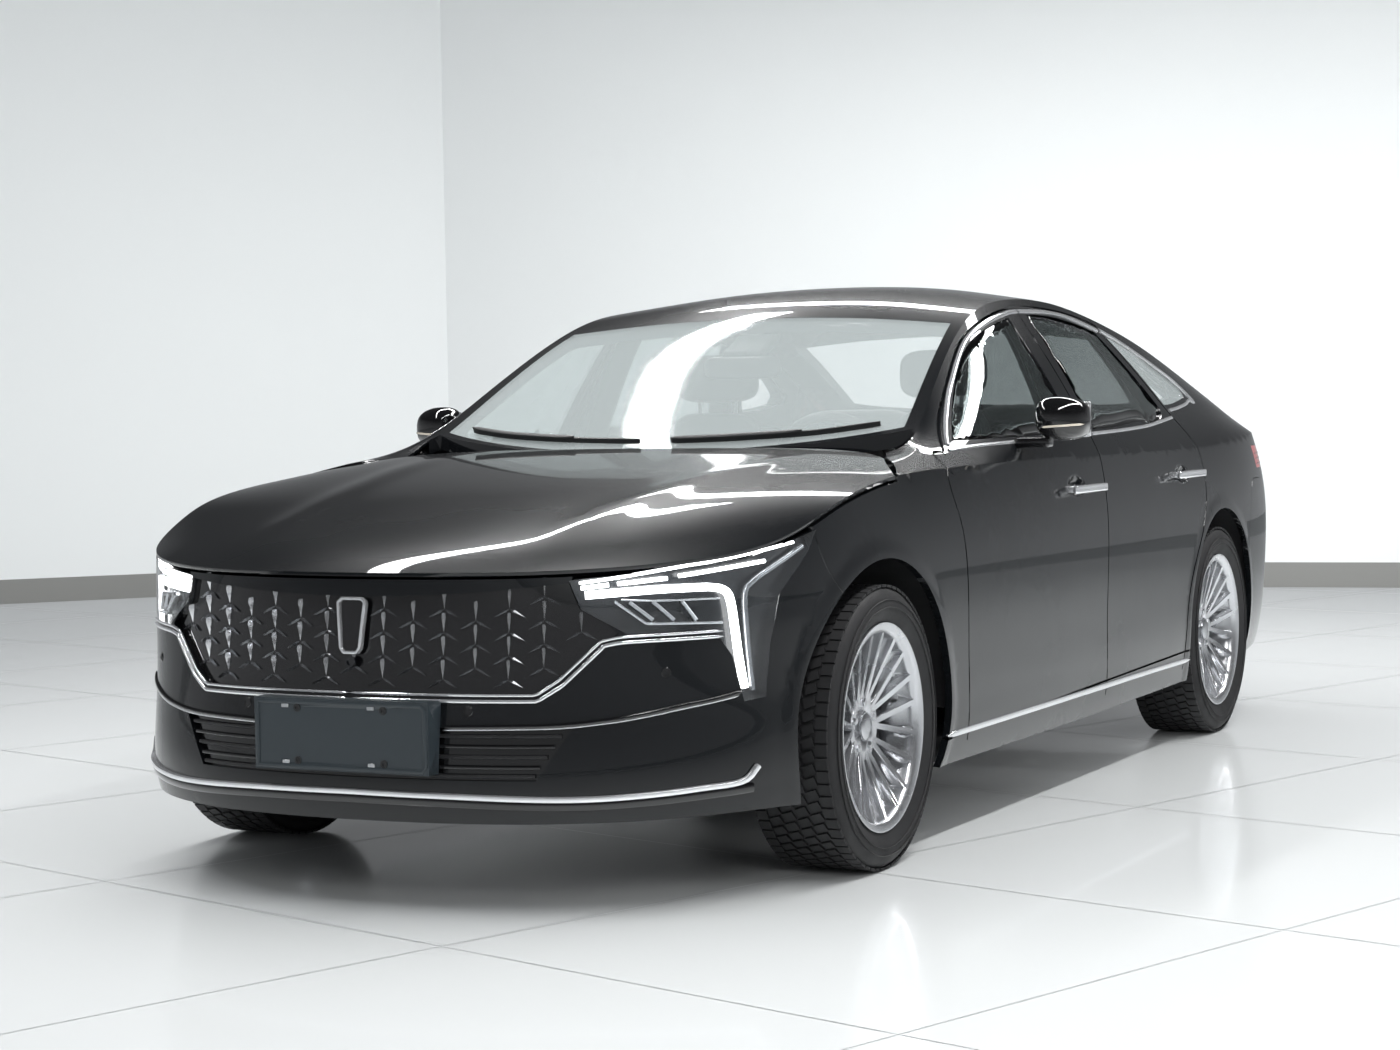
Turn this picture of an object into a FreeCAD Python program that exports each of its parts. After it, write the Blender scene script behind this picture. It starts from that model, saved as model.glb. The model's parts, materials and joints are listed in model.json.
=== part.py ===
"""Four-door fastback sedan: body panels, glass, lamps, cabin, running gear and wheels, each a piece of its own.

Units are millimetres. The car stands on the ground: +Z up, the nose points to -Y, +X is the car's left side, and
the origin is on the ground under the middle of the car. The body lines are drawn once at the nominal size.
at() carries a drawn point to the sizes in the sheet, so that panels, glass, lamps and cabin move together.
"""
import FreeCAD
import Part
import math
import os
from FreeCAD import Vector

# alias, value, meaning
SIZES = [
    ("wheelbase", 2800.0, "front axle to rear axle"),
    ("front_overhang", 900.0, "front axle to the foremost point"),
    ("rear_overhang", 1110.0, "rear axle to the rearmost point"),
    ("body_width", 1834.0, "width over the doors"),
    ("belt_height", 965.0, "ground to the window line beside the driver"),
    ("roof_height", 1430.0, "ground to the top of the roof"),
    ("track_width", 1584.0, "between the tyre centres of one axle"),
    ("tyre_diameter", 660.0, "outer diameter of the tyre"),
    ("tyre_width", 226.0, "section width of the tyre"),
    ("rim_diameter", 457.2, "bead seat diameter of the rim"),
    ("rim_width", 200.0, "width of the rim between its outer faces"),
    ("rim_lip", 13.0, "height of the rim flange over the bead seat"),
    ("spoke_count", 10.0, "pairs of spokes"),
    ("cap_diameter", 62.0, "centre cap of the wheel"),
    ("stud_circle", 114.3, "pitch circle diameter of the wheel bolts"),
    ("stud_count", 5.0, "wheel bolts"),
    ("disc_diameter", 304.0, "outer diameter of the brake disc"),
    ("disc_thickness", 26.0, "thickness of the brake disc"),
    ("arch_gap", 54.0, "tyre tread to the edge of the wheel arch"),
    ("liner_gap", 98.0, "tyre tread to the wheel arch liner"),
    ("skin_thickness", 14.0, "thickness of an outer panel with its folded edge"),
    ("wall_thickness", 76.0, "whole thickness of a door or body side"),
    ("frame_gap", 13.0, "inside of a shut door to the frame behind it"),
    ("frame_thickness", 30.0, "thickness of the body frame round the doors"),
    ("panel_gap", 6.5, "gap round a door or a lid"),
    ("seam_gap", 2.0, "gap between panels that stay together"),
    ("inner_step", 15.0, "how far the inner part of a door is set back from its skin"),
    ("glass_thickness", 5.0, "thickness of the windows"),
    ("glass_depth", 6.0, "outer skin to the face of the windows"),
    ("hood_thickness", 22.0, "thickness of the hood with its frame"),
    ("hood_flange", 8.0, "height of the hood's edge over its shut line"),
    ("roof_thickness", 40.0, "thickness of the roof with its lining"),
    ("lamp_depth", 70.0, "depth of a lamp housing"),
    ("floor_height", 190.0, "ground to the underside of the floor"),
    ("floor_thickness", 40.0, "thickness of the floor"),
    ("hinge_pin", 7.0, "diameter of the pins of the doors and the hood"),
    ("running_gap", 0.3, "hinge pin to its hole, and caliper play"),
    ("seat_width", 520.0, "width of a front seat"),
    ("steering_wheel_diameter", 370.0, "outer diameter of the steering wheel"),
    ("plate_width", 444.0, "width of the number plate carrier"),
    ("plate_height", 156.0, "height of the number plate carrier"),
    ("plate_screw_width", 220.0, "between the plate screws of one row"),
    ("plate_screw_height", 114.0, "between the two rows of plate screws"),
    ("plate_screw_hole", 6.6, "diameter of the holes for the plate screws"),
]

# Places along and over the car at which the body lines below are drawn
DRAWN_NOSE = -2405.0
DRAWN_FRONT_AXLE = -1505.0
DRAWN_REAR_AXLE = 1295.0
DRAWN_TAIL = 2405.0
DRAWN_HALF_WIDTH = 917.0
DRAWN_BELT = 965.0
DRAWN_ROOF = 1430.0

# The band round the car at its widest height, from the middle of the nose to the middle of the tail (x, y)
WAIST = [
    (0, -2349), (250, -2349), (500, -2272), (690, -2135), (800, -1990), (862, -1850), (892, -1690), (908, -1520),
    (912, -1340), (914, -1050), (917, -600), (918, -250), (918, 50), (918, 550), (918, 1000), (918, 1300),
    (908, 1650), (882, 1930), (855, 2060), (785, 2205), (600, 2340), (290, 2404), (0, 2404),
]
# Side profiles: station of the band, then (outward from the waist, height) from the lower edge to the waist and up
PROFILES = [
    (0, [(23, 196), (38, 255), (14, 430), (0, 600), (-6, 668)]),
    (2, [(20, 197), (34, 256), (10, 430), (0, 600), (-6, 672)]),
    (4, [(-6, 203), (12, 266), (-6, 430), (0, 600), (-2, 692)]),
    (6, [(-22, 198), (-2, 270), (-4, 436), (0, 606), (-4, 742)]),
    (9, [(-32, 192), (-6, 266), (-8, 440), (0, 615), (-8, 785)]),
    (12, [(-34, 192), (-8, 270), (-12, 445), (0, 615), (-12, 792)]),
    (15, [(-32, 205), (-8, 284), (-6, 460), (0, 628), (-10, 800)]),
    (18, [(-45, 245), (-22, 322), (-8, 495), (0, 650), (-6, 815)]),
    (22, [(-50, 262), (-22, 345), (2, 510), (0, 660), (-6, 822)]),
]
# The crease along the shoulder, which is the edge of the hood in front (x, y, z)
CREASE = [
    (0, -2333, 728), (248, -2333, 728), (488, -2278, 732), (672, -2150, 744), (792, -1996, 762), (845, -1858, 800),
    (866, -1700, 858), (862, -1520, 886), (853, -1340, 905), (857, -1050, 913), (866, -600, 916), (870, -250, 917),
    (874, 50, 917), (871, 550, 917), (864, 1000, 917), (860, 1300, 920), (852, 1650, 930), (828, 1940, 944),
    (800, 2075, 950), (745, 2190, 956), (570, 2322, 962), (280, 2386, 967), (0, 2386, 967),
]
# From station 8 on: the window line and the edge of the roof
BELT = [
    (775, -1185, 940), (797, -1010, 950), (830, -620, 966), (840, -250, 974), (845, 50, 979), (832, 550, 986),
    (812, 1000, 1000), (795, 1300, 1010), (783, 1650, 1008), (768, 1950, 992), (748, 2070, 985), (722, 2165, 981),
    (562, 2300, 987), (276, 2362, 993), (0, 2362, 993),
]
RAIL = [
    (700, -1010, 951), (735, -890, 970), (668, -580, 1146), (617, -240, 1308), (600, 40, 1366), (580, 550, 1378),
    (604, 1010, 1312), (638, 1330, 1240), (688, 1650, 1128), (732, 1950, 1024), (722, 2060, 1003), (700, 2150, 994),
    (548, 2275, 998), (270, 2336, 1003), (0, 2336, 1003),
]
# Middle line of the windshield, roof, rear window and deck at the stations of the roof edge (y, z)
SPINE = [
    (-1040, 922), (-985, 948), (-890, 993), (-560, 1166), (-225, 1338), (60, 1410), (550, 1439), (1000, 1392),
    (1310, 1303), (1650, 1180), (1950, 1062), (2110, 1018),
]
# Middle line and ridge of the hood behind its front edge (y, z)
HOOD_SPINE = [(-2290, 765), (-2180, 800), (-1960, 848), (-1680, 896), (-1240, 945), (-990, 967)]
HOOD_POWERS = [(2, 3), (2, 3), (2, 3), (3, 4), (5, 6), (8, 8)]
SIDE_BULGE = 16.0
FIRST_ROOF_STATION = 8
NOSE_CORNER_STATION = 4
TAIL_CORNER_STATION = 18
LAST_WALL_STATION = 16

doc = FreeCAD.newDocument("sedan")
sheet = doc.addObject("Spreadsheet::Sheet", "Sizes")
for row, (alias, value, meaning) in enumerate(SIZES, start=1):
    sheet.set(f"A{row}", meaning)
    sheet.set(f"B{row}", repr(value))
    sheet.setAlias(f"B{row}", alias)
doc.recompute()
node_objects = []


def size(alias):
    """Value of a named size in the sheet."""
    return float(sheet.get(alias))


def along(y):
    """Drawn place along the car, carried to the wheelbase and overhangs."""
    length = size("front_overhang") + size("wheelbase") + size("rear_overhang")
    nose = -length / 2
    axle = nose + size("front_overhang")
    stops = [(DRAWN_NOSE, nose), (DRAWN_FRONT_AXLE, axle), (DRAWN_REAR_AXLE, axle + size("wheelbase")),
             (DRAWN_TAIL, length / 2)]
    low, high = stops[0], stops[1]
    for first, second in zip(stops, stops[1:]):
        if y >= first[0]:
            low, high = first, second
    return low[1] + (y - low[0]) * (high[1] - low[1]) / (high[0] - low[0])


def across(x):
    """Drawn place across the car, carried to the body width."""
    return x * size("body_width") / 2 / DRAWN_HALF_WIDTH


def up(z):
    """Drawn height, carried to the belt and roof heights."""
    if z <= DRAWN_BELT:
        return z * size("belt_height") / DRAWN_BELT
    upper = (size("roof_height") - size("belt_height")) / (DRAWN_ROOF - DRAWN_BELT)
    return size("belt_height") + (z - DRAWN_BELT) * upper


def at(x, y, z):
    """Drawn point at the real sizes."""
    return Vector(across(x), along(y), up(z))


FRONT_AXLE_Y = along(DRAWN_FRONT_AXLE)
REAR_AXLE_Y = along(DRAWN_REAR_AXLE)
AXLE_Z = size("tyre_diameter") / 2
WHEEL_X = size("track_width") / 2
ARCH_RADIUS = AXLE_Z + size("arch_gap")


def keep(label, shape):
    """Put a finished shape in the document under its node name."""
    feature = doc.addObject("Part::Feature", label)
    feature.Label = label
    feature.Shape = shape
    node_objects.append(feature)
    return feature


def mirrored(shape):
    """The same piece on the car's right side."""
    return shape.mirror(Vector(0, 0, 0), Vector(1, 0, 0))


def both(shape):
    """A piece and its mirror image."""
    return Part.makeCompound([shape, mirrored(shape)])


def spline_surface(rows):
    """Smooth surface whose corner points are those of the given rows; full rows are joined in their middle."""
    u_count, v_count = len(rows), len(rows[0])
    u_degree, v_degree = min(3, u_count - 1), min(3, v_count - 1)
    u_mults = [u_degree + 1] + [1] * (u_count - u_degree - 1) + [u_degree + 1]
    v_mults = [v_degree + 1] + [1] * (v_count - v_degree - 1) + [v_degree + 1]
    if rows[0][0].x > 1 and abs(rows[0][0].x + rows[0][-1].x) < 0.01:
        half = [1] * (v_count // 2 - 3)
        v_mults = [4] + half + [3] + half + [4]
    surface = Part.BSplineSurface()
    surface.buildFromPolesMultsKnots(rows, u_mults, v_mults, [float(k) for k in range(len(u_mults))],
                                     [float(k) for k in range(len(v_mults))], False, False, u_degree, v_degree)
    return surface


def patch(rows, first=None, last=None):
    """Smooth surface over rows, or only the stretch of it between two stations."""
    surface = spline_surface(rows)
    if first is not None:
        u_low, u_high = surface.bounds()[:2]
        surface.segment(u_low, u_high, knot_of(first, len(rows[0])), knot_of(last, len(rows[0])))
    return surface


def knot_of(station, count):
    """Parameter of a cubic curve with evenly spaced knots where one of its poles acts most."""
    if station <= 1:
        return 0.0
    return float(min(station - 1, count - 3))


def stretch(row, first, last):
    """Poles of the stretch of a row's own curve between two stations."""
    curve = Part.BSplineCurve()
    spans = len(row) - 3
    curve.buildFromPolesMultsKnots(row, [4] + [1] * (spans - 1) + [4], [float(k) for k in range(spans + 1)], False, 3)
    curve.segment(knot_of(first, len(row)), knot_of(last, len(row)))
    return curve.getPoles()


def same_ends(first, second):
    """Whether two edges join the same two points."""
    one, other = (first.StartPoint, first.EndPoint), (second.StartPoint, second.EndPoint)
    return any((one[0] - a).Length < 0.01 and (one[1] - b).Length < 0.01 for a, b in (other, other[::-1]))


def slab(*pairs):
    """Closed solid between outer and inner surfaces that match along their edges."""
    faces = []
    rims = []
    for outer, inner in pairs:
        faces += [outer.toShape(), inner.toShape()]
        u_low, u_high, v_low, v_high = outer.bounds()
        rims += [(outer.uIso(u), inner.uIso(u)) for u in (u_low, u_high)]
        rims += [(outer.vIso(v), inner.vIso(v)) for v in (v_low, v_high)]
    for outer_edge, inner_edge in rims:
        twins = [other for other, _ in rims if same_ends(outer_edge, other)]
        if len(twins) == 1:
            faces.append(Part.makeRuledSurface(outer_edge.toShape(), inner_edge.toShape()))
    shell = Part.makeShell(faces)
    shell.sewShape()
    solid = Part.makeSolid(shell)
    if solid.Volume < 0:
        solid.reverse()
    return solid


def plan_normals(row):
    """Outward directions in plan along one line of the body side."""
    normals = []
    for index, point in enumerate(row):
        before, after = row[max(index - 1, 0)], row[min(index + 1, len(row) - 1)]
        run = after - before
        if abs(point.x) < 1.0:
            run = Vector(1 if point.y < 0 else -1, 0, 0)
        normals.append(Vector(run.y, -run.x, 0).normalize())
    return normals


def lower_rows():
    """Rows of the body side from the lower edge to the shoulder crease."""
    waist = [Vector(x, y, 0) for x, y in WAIST]
    normals = plan_normals(waist)
    rows = []
    for level in range(len(PROFILES[0][1])):
        row = []
        for station, (point, normal) in enumerate(zip(waist, normals)):
            for (first, low), (second, high) in zip(PROFILES, PROFILES[1:]):
                if first <= station <= second:
                    share = (station - first) / (second - first)
                    out = low[level][0] + share * (high[level][0] - low[level][0])
                    height = low[level][1] + share * (high[level][1] - low[level][1])
            placed = point + normal * out
            row.append(at(placed.x, placed.y, height))
        rows.append(row)
    rows.append([at(*point) for point in CREASE])
    return rows


def with_start(points):
    """Points with one more near the start, as the stretch of a smooth curve has."""
    first, second = points[0], points[1]
    return [first, tuple(p + (q - p) / 3 for p, q in zip(first, second))] + points[1:]


def upper_rows():
    """Rows of the body side from the shoulder crease to the edge of the roof."""
    crease = stretch([at(*point) for point in CREASE], FIRST_ROOF_STATION, len(CREASE) - 1)
    belt, rail = with_start(BELT), with_start(RAIL)
    rows = [crease, [at(*point) for point in belt]]
    for share in (0.36, 0.72):
        row = []
        for (bx, by, bz), (rx, ry, rz) in zip(belt, rail):
            bulge = SIDE_BULGE * 4 * share * (1 - share) * min(1.0, (rz - bz) / 300)
            row.append(at(bx + share * (rx - bx) + max(bulge, 0), by + share * (ry - by), bz + share * (rz - bz)))
        rows.append(row)
    rows.append([at(*point) for point in rail])
    return rows


def crowned(edge, spine, far_edge, powers):
    """Rows across the car from an edge line over a middle line; a higher power keeps a row flat further out."""
    corner = far_edge[-1].x
    rows = []
    for place, (sy, sz), (run_power, rise_power) in zip(edge, spine, powers):
        middle = Vector(0, along(sy), up(sz))
        half = []
        for point in far_edge[:0:-1]:
            share = point.x / corner
            half.append(Vector(share * place.x, place.y + (middle.y - place.y) * (1 - share ** run_power),
                               place.z + (middle.z - place.z) * (1 - share ** rise_power)))
        half[-1] = Vector(half[-1].x, middle.y, middle.z)
        rows.append(half + [middle])
    return rows


def full_width(rows):
    """Rows completed with their mirror image, from the left edge to the right."""
    return [half + [Vector(-p.x, p.y, p.z) for p in reversed(half[:-1])] for half in rows]


def top_rows():
    """Rows over the windshield, roof, rear window and deck, from the left edge to the right."""
    rail = [at(*point) for point in with_start(RAIL)]
    corner = TAIL_CORNER_STATION - FIRST_ROOF_STATION + 1
    edge = stretch(rail, 0, corner)
    tail = stretch(rail, corner, len(rail) - 1)
    rows = crowned(edge[:-1], SPINE, tail[::-1], [(2, 2)] * len(SPINE))
    return full_width(rows + [tail])


def hood_rows():
    """Rows over the hood from its front edge to the windshield, from the left edge to the right."""
    crease = [at(*point) for point in CREASE]
    front = stretch(crease, 0, NOSE_CORNER_STATION)
    edge = stretch(crease, NOSE_CORNER_STATION, FIRST_ROOF_STATION)
    rows = crowned(edge[1:], HOOD_SPINE, front, HOOD_POWERS)
    return full_width([front[::-1]] + rows)


def set_in(rows, depths, leans):
    """Rows moved into the body: depth of each row, and how far its direction leans downwards (degrees)."""
    moved = []
    for row, depth, lean in zip(rows, depths, leans):
        tilt = math.radians(lean)
        moved.append([point - normal * depth * math.cos(tilt) - Vector(0, 0, depth * math.sin(tilt))
                      for point, normal in zip(row, plan_normals(row))])
    return moved


LOWER = lower_rows()
UPPER = upper_rows()
TOP = top_rows()
HOOD = hood_rows()
LOWER_LEAN = [0] * 6
UPPER_LEAN = [0, 12, 35, 62, 90]


def upper_depths(share):
    """Depths of the upper rows at a share of the wall: full at the shoulder, the roof's own at its edge."""
    wall, roof = size("wall_thickness"), 0.85 * size("roof_thickness")
    return [share * wall, share * wall * 0.8, share * (wall + roof) * 0.45, share * roof, share * roof]


def side_rows(share):
    """Lower and upper rows of the body side at a share of the wall's depth."""
    lower = set_in(LOWER, [share * size("wall_thickness")] * 6, LOWER_LEAN)
    upper = set_in(UPPER, upper_depths(share), UPPER_LEAN)
    upper[0] = stretch(lower[-1], FIRST_ROOF_STATION, len(CREASE) - 1)
    return lower, upper


def side_slab(outer_share, inner_share, last):
    """Solid of the left body side between two shares of the wall's depth, as far back as a station."""
    levels = []
    for share in (outer_share, inner_share):
        lower, upper = side_rows(share)
        surfaces = [patch(lower, FIRST_ROOF_STATION, last), patch(upper, 0, last - FIRST_ROOF_STATION + 1)]
        if outer_share == 0:
            surfaces.insert(0, patch(lower, 0, FIRST_ROOF_STATION))
        levels.append(surfaces)
    return slab(*zip(*levels))


def frame_slab(outer_share, inner_share):
    """Solid of the left body frame, whose upper part starts behind the foot of the windshield."""
    outer_rows, inner_rows = side_rows(outer_share), side_rows(inner_share)
    first = FIRST_ROOF_STATION + 1
    lower = slab([patch(rows[0], first, LAST_WALL_STATION) for rows in (outer_rows, inner_rows)])
    upper = slab([patch(rows[1], first - 6, LAST_WALL_STATION - FIRST_ROOF_STATION + 1)
                  for rows in (outer_rows, inner_rows)])
    return lower.fuse(upper)


def dropped(rows, depth):
    """Rows moved straight down."""
    return [[point - Vector(0, 0, depth) for point in row] for row in rows]


def run_edge(points):
    """Straight edge through two points, or a smooth one through more."""
    if len(points) == 2:
        return Part.LineSegment(points[0], points[1]).toShape()
    curve = Part.BSplineCurve()
    curve.interpolate(points)
    return curve.toShape()


def outline_face(runs):
    """Flat face inside runs of points that join end to end."""
    return Part.Face(Part.Wire([run_edge(run) for run in runs]))


def side_runs(runs, x):
    """Runs of drawn (y, z) points at one distance from the middle plane."""
    return [[Vector(x, along(y), up(z)) for y, z in run] for run in runs]


SIDE_NEAR = across(350)
SIDE_FAR = across(1100)


def side_prism(runs):
    """Solid through the left body side inside an outline of drawn (y, z) runs."""
    return outline_face(side_runs(runs, SIDE_NEAR)).extrude(Vector(SIDE_FAR - SIDE_NEAR, 0, 0))


def side_cut(points, width):
    """Solid of a shut line through the left body side, of one width along the whole line."""
    line = [Vector(SIDE_NEAR, along(y), up(z)) for y, z in points]
    spine = run_edge(line)
    first, last = spine.ParameterRange
    samples = 4 * (len(points) - 1)
    left, right = [], []
    for index in range(samples + 1):
        parameter = first + (last - first) * index / samples
        place, run = spine.valueAt(parameter), spine.tangentAt(parameter)
        aside = Vector(0, -run.z, run.y) * (width / 2)
        left.append(place + aside)
        right.append(place - aside)
    if len(points) == 2:
        left, right = [left[0], left[-1]], [right[0], right[-1]]
    edges = [run_edge(left), run_edge([left[-1], right[-1]]), run_edge(right[::-1]), run_edge([right[0], left[0]])]
    return Part.Face(Part.Wire(edges)).extrude(Vector(SIDE_FAR - SIDE_NEAR, 0, 0))


def nearest_solid(shape, x, y, z):
    """Solid of a split shape whose middle is nearest to a drawn point."""
    target = at(x, y, z)
    return min(shape.Solids, key=lambda solid: (solid.CenterOfMass - target).Length)


def cylinder_x(radius, x_low, x_high, y, z):
    """Cylinder across the car."""
    return Part.makeCylinder(radius, x_high - x_low, Vector(x_low, y, z), Vector(1, 0, 0))


# Shut lines of the body side (y, z)
DOOR_FRONT_EDGE = [(-985, 240), (-1000, 500), (-1005, 700), (-1010, 790), (-1019, 870), (-1000, 915), (-905, 948)]
DOOR_SPLIT = [(108, 240), (93, 487), (104, 649), (132, 800), (150, 892), (156, 952), (178, 1349)]
DOOR_REAR_EDGE = [(868, 240), (872, 330), (897, 460), (966, 575), (1047, 660), (1107, 735), (1160, 840), (1168, 940),
                  (1105, 1015), (985, 1160), (885, 1320)]
DOOR_TOP = [(-905, 948), (-840, 982), (-560, 1130), (-330, 1243), (-140, 1298), (70, 1333), (292, 1346),
            (580, 1340), (885, 1306), (915, 1300)]
PILLAR_SEAM = [(-925, 925), (-862, 1040)]
DOOR_BOTTOM = [(-1200, 258), (1000, 298)]
FENDER_SEAM = [(-1812, 845), (-1800, 785), (-1783, 735), (-1750, 685), (-1690, 630)]
BUMPER_REAR_SEAM = [(1560, 560), (1640, 640), (1700, 740), (1780, 798)]
BUMPER_REAR_TOP = 798.0

# Openings of the nose, seen from the front (x, z)
GRILLE = [[(-422, 467), (422, 467)], [(422, 467), (580, 597)], [(580, 597), (480, 700)],
          [(480, 700), (240, 679), (0, 672), (-240, 679), (-480, 700)], [(-480, 700), (-580, 597)],
          [(-580, 597), (-422, 467)]]
NOSE_PANEL = [[(-492, 707), (-240, 685), (0, 678), (240, 685), (492, 707)], [(492, 707), (520, 800)],
              [(520, 800), (-520, 800)], [(-520, 800), (-492, 707)]]
INTAKE = [[(-430, 290), (430, 290)], [(430, 290), (500, 400)], [(500, 400), (-500, 400)], [(-500, 400), (-430, 290)]]

# Corners of the headlamp on the body (x, y, z), from the inner top corner round
HEADLAMP = [(500, -2272, 712), (640, -2172, 726), (788, -2000, 748), (840, -1870, 782), (868, -1806, 800),
            (858, -1838, 752), (822, -1920, 668), (812, -1950, 560), (806, -1962, 446), (776, -2010, 440),
            (762, -2035, 540), (742, -2070, 592), (600, -2195, 592), (520, -2258, 650)]
HEADLAMP_VIEW = (0.62, -0.78, 0.0)
TAIL_LAMP = (1890.0, 832.0, 906.0)
TAIL_LAMP_IN = 592.0

# Trunk lid, seen from above: half width and front edge
LID_HALF_WIDTH = 580.0
LID_FRONT_Y = 2082.0

# Edges of the windshield and of the rear window, seen from above (x, y), from the middle to the left
WINDSHIELD = [[(0, -956), (400, -925), (676, -826)], [(676, -826), (628, -520), (588, -262)],
              [(588, -262), (300, -244), (0, -238)]]
REAR_WINDOW_PLAN = [[(0, 1205), (350, 1190), (520, 1150)], [(520, 1150), (560, 1500), (600, 1850)],
                    [(600, 1850), (350, 1990), (0, 2030)]]
COWL_EDGE = [[(0, -970), (400, -939), (700, -836)], [(700, -836), (740, -900)], [(740, -900), (740, -1200)],
             [(740, -1200), (0, -1200)]]
# Hinge pins: of the doors (x, y, heights), of the hood and of the trunk lid (x, y, z)
DOOR_HINGES = {"front": (905.0, -972.0, (540.0, 660.0)), "rear": (908.0, 140.0, (560.0, 640.0))}
HOOD_HINGE = (600.0, -975.0, 935.0)
LID_HINGE = (525.0, 1880.0, 1000.0)
LID_ARM_RADIUS = 218.0

# Windows of the body side (y, z)
FRONT_WINDOW = [[(-800, 976), (-560, 1112), (-330, 1226), (-140, 1277), (66, 1309)], [(66, 1309), (52, 986)],
                [(52, 986), (-400, 978), (-800, 976)]]
REAR_WINDOW = [[(240, 1321), (420, 1322), (600, 1311), (828, 1281)], [(828, 1281), (1000, 1062)],
               [(1000, 1062), (1010, 1038), (985, 1018), (760, 1002), (500, 993), (212, 988)],
               [(212, 988), (240, 1321)]]
QUARTER_WINDOW = [[(925, 1268), (1049, 1236), (1219, 1180), (1380, 1118)], [(1380, 1118), (1410, 1092), (1398, 1074)],
                  [(1398, 1074), (1230, 1056), (1092, 1050)], [(1092, 1050), (925, 1268)]]


def flat_prism(runs, place, direction):
    """Solid along a direction inside an outline whose drawn points a function places in space."""
    return outline_face([[place(*point) for point in run] for run in runs]).extrude(direction)


def front_prism(runs, y_low, y_high):
    """Solid along the car inside an outline of drawn (x, z) runs."""
    near = along(y_low)
    return flat_prism(runs, lambda x, z: Vector(across(x), near, up(z)), Vector(0, along(y_high) - near, 0))


def plan_prism(runs, z_low, z_high):
    """Upright solid inside an outline of drawn (x, y) runs."""
    return flat_prism(runs, lambda x, y: Vector(across(x), along(y), z_low), Vector(0, 0, z_high - z_low))


def mirrored_runs(runs):
    """Runs of a left half outline closed with their mirror image."""
    return runs + [[(-x, y) for x, y in reversed(run)] for run in reversed(runs)]


def view_prism(points, view, near, far):
    """Solid along a level direction through corners that lie on the body."""
    direction = Vector(*view).normalize()
    flat = []
    for point in points:
        place = at(*point)
        flat.append(place - direction * (place.dot(direction) - near))
    edges = [run_edge([first, second]) for first, second in zip(flat, flat[1:] + flat[:1])]
    return Part.Face(Part.Wire(edges)).extrude(direction * (far - near))


def ribbon(curve_poles, width, z_low, z_high):
    """Upright wall along a smooth line in plan."""
    flat = [Vector(p.x, p.y, z_low) for p in curve_poles]
    curve = Part.BSplineCurve()
    spans = len(flat) - 3
    curve.buildFromPolesMultsKnots(flat, [4] + [1] * (spans - 1) + [4], [float(k) for k in range(spans + 1)], False, 3)
    steps = 4 * spans
    left, right = [], []
    for index in range(steps + 1):
        parameter = spans * index / steps
        run = curve.tangent(parameter)[0]
        aside = Vector(-run.y, run.x, 0) * (width / 2)
        left.append(curve.value(parameter) + aside)
        right.append(curve.value(parameter) - aside)
    edges = [run_edge(left), run_edge([left[-1], right[-1]]), run_edge(right[::-1]), run_edge([right[0], left[0]])]
    return Part.Face(Part.Wire(edges)).extrude(Vector(0, 0, z_high - z_low))


def edge_band(outward, inward, low, high):
    """Space along the left half of the hood's edge between two depths and two heights from that edge."""
    crease = [at(*point) for point in CREASE]
    rows = [set_in([crease], [depth], [0])[0] for depth in (-outward, inward)]
    return slab((patch(dropped(rows, -high), 0, FIRST_ROOF_STATION), patch(dropped(rows, -low), 0, FIRST_ROOF_STATION)))


def box(x_low, x_high, y_low, y_high, z_low, z_high):
    """Upright box between real coordinates."""
    return Part.makeBox(x_high - x_low, y_high - y_low, z_high - z_low, Vector(x_low, y_low, z_low))


def arch(y, radius, x_low=None):
    """Cylinder that opens the left side round a wheel."""
    low = SIDE_NEAR if x_low is None else x_low
    return cylinder_x(radius, low, SIDE_FAR, y, AXLE_Z + 5)


SKIN_SHARE = size("skin_thickness") / size("wall_thickness")
HIGH = up(1600)


def split_sides():
    """Skin and wall of the left side, split at the shut lines."""
    arches = [arch(y, ARCH_RADIUS) for y in (FRONT_AXLE_Y, REAR_AXLE_Y)]
    windows = [side_prism(runs) for runs in (FRONT_WINDOW, REAR_WINDOW, QUARTER_WINDOW)]
    doors = (DOOR_FRONT_EDGE, DOOR_SPLIT, DOOR_REAR_EDGE, DOOR_TOP, DOOR_BOTTOM)
    gap, seam = size("panel_gap"), size("seam_gap")
    skin_cuts = [side_cut(line, gap) for line in doors]
    skin_cuts += [side_cut(line, seam) for line in (FENDER_SEAM, BUMPER_REAR_SEAM, PILLAR_SEAM)]
    tail = along(DRAWN_TAIL) + 100
    rear_top = up(BUMPER_REAR_TOP)
    skin_cuts.append(box(0, SIDE_FAR, along(1780), tail, rear_top, rear_top + seam))
    skin = side_slab(0, SKIN_SHARE, len(CREASE) - 1).cut(skin_cuts + arches + windows)
    wide = gap + 2 * size("inner_step")
    wall_arch = [arch(y, AXLE_Z + size("liner_gap") + 6) for y in (FRONT_AXLE_Y, REAR_AXLE_Y)]
    wall = side_slab(0.93 * SKIN_SHARE, 1, LAST_WALL_STATION)
    wall = wall.cut([side_cut(line, wide) for line in doors] + wall_arch + windows)
    return skin, wall


def inner_volume(depth):
    """Everything on the left that lies further in than a depth from the lower body side."""
    outer = set_in(LOWER, [depth] * 6, LOWER_LEAN)
    middle = [[Vector(-60, p.y, p.z) for p in row] for row in outer]
    return slab((patch(outer), patch(middle)))


def whole(half):
    """One piece from a left half and its mirror image."""
    return half.fuse(mirrored(half)).removeSplitter()


def largest(shape):
    """Largest solid of a split shape."""
    return max(shape.Solids, key=lambda solid: solid.Volume)


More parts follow.
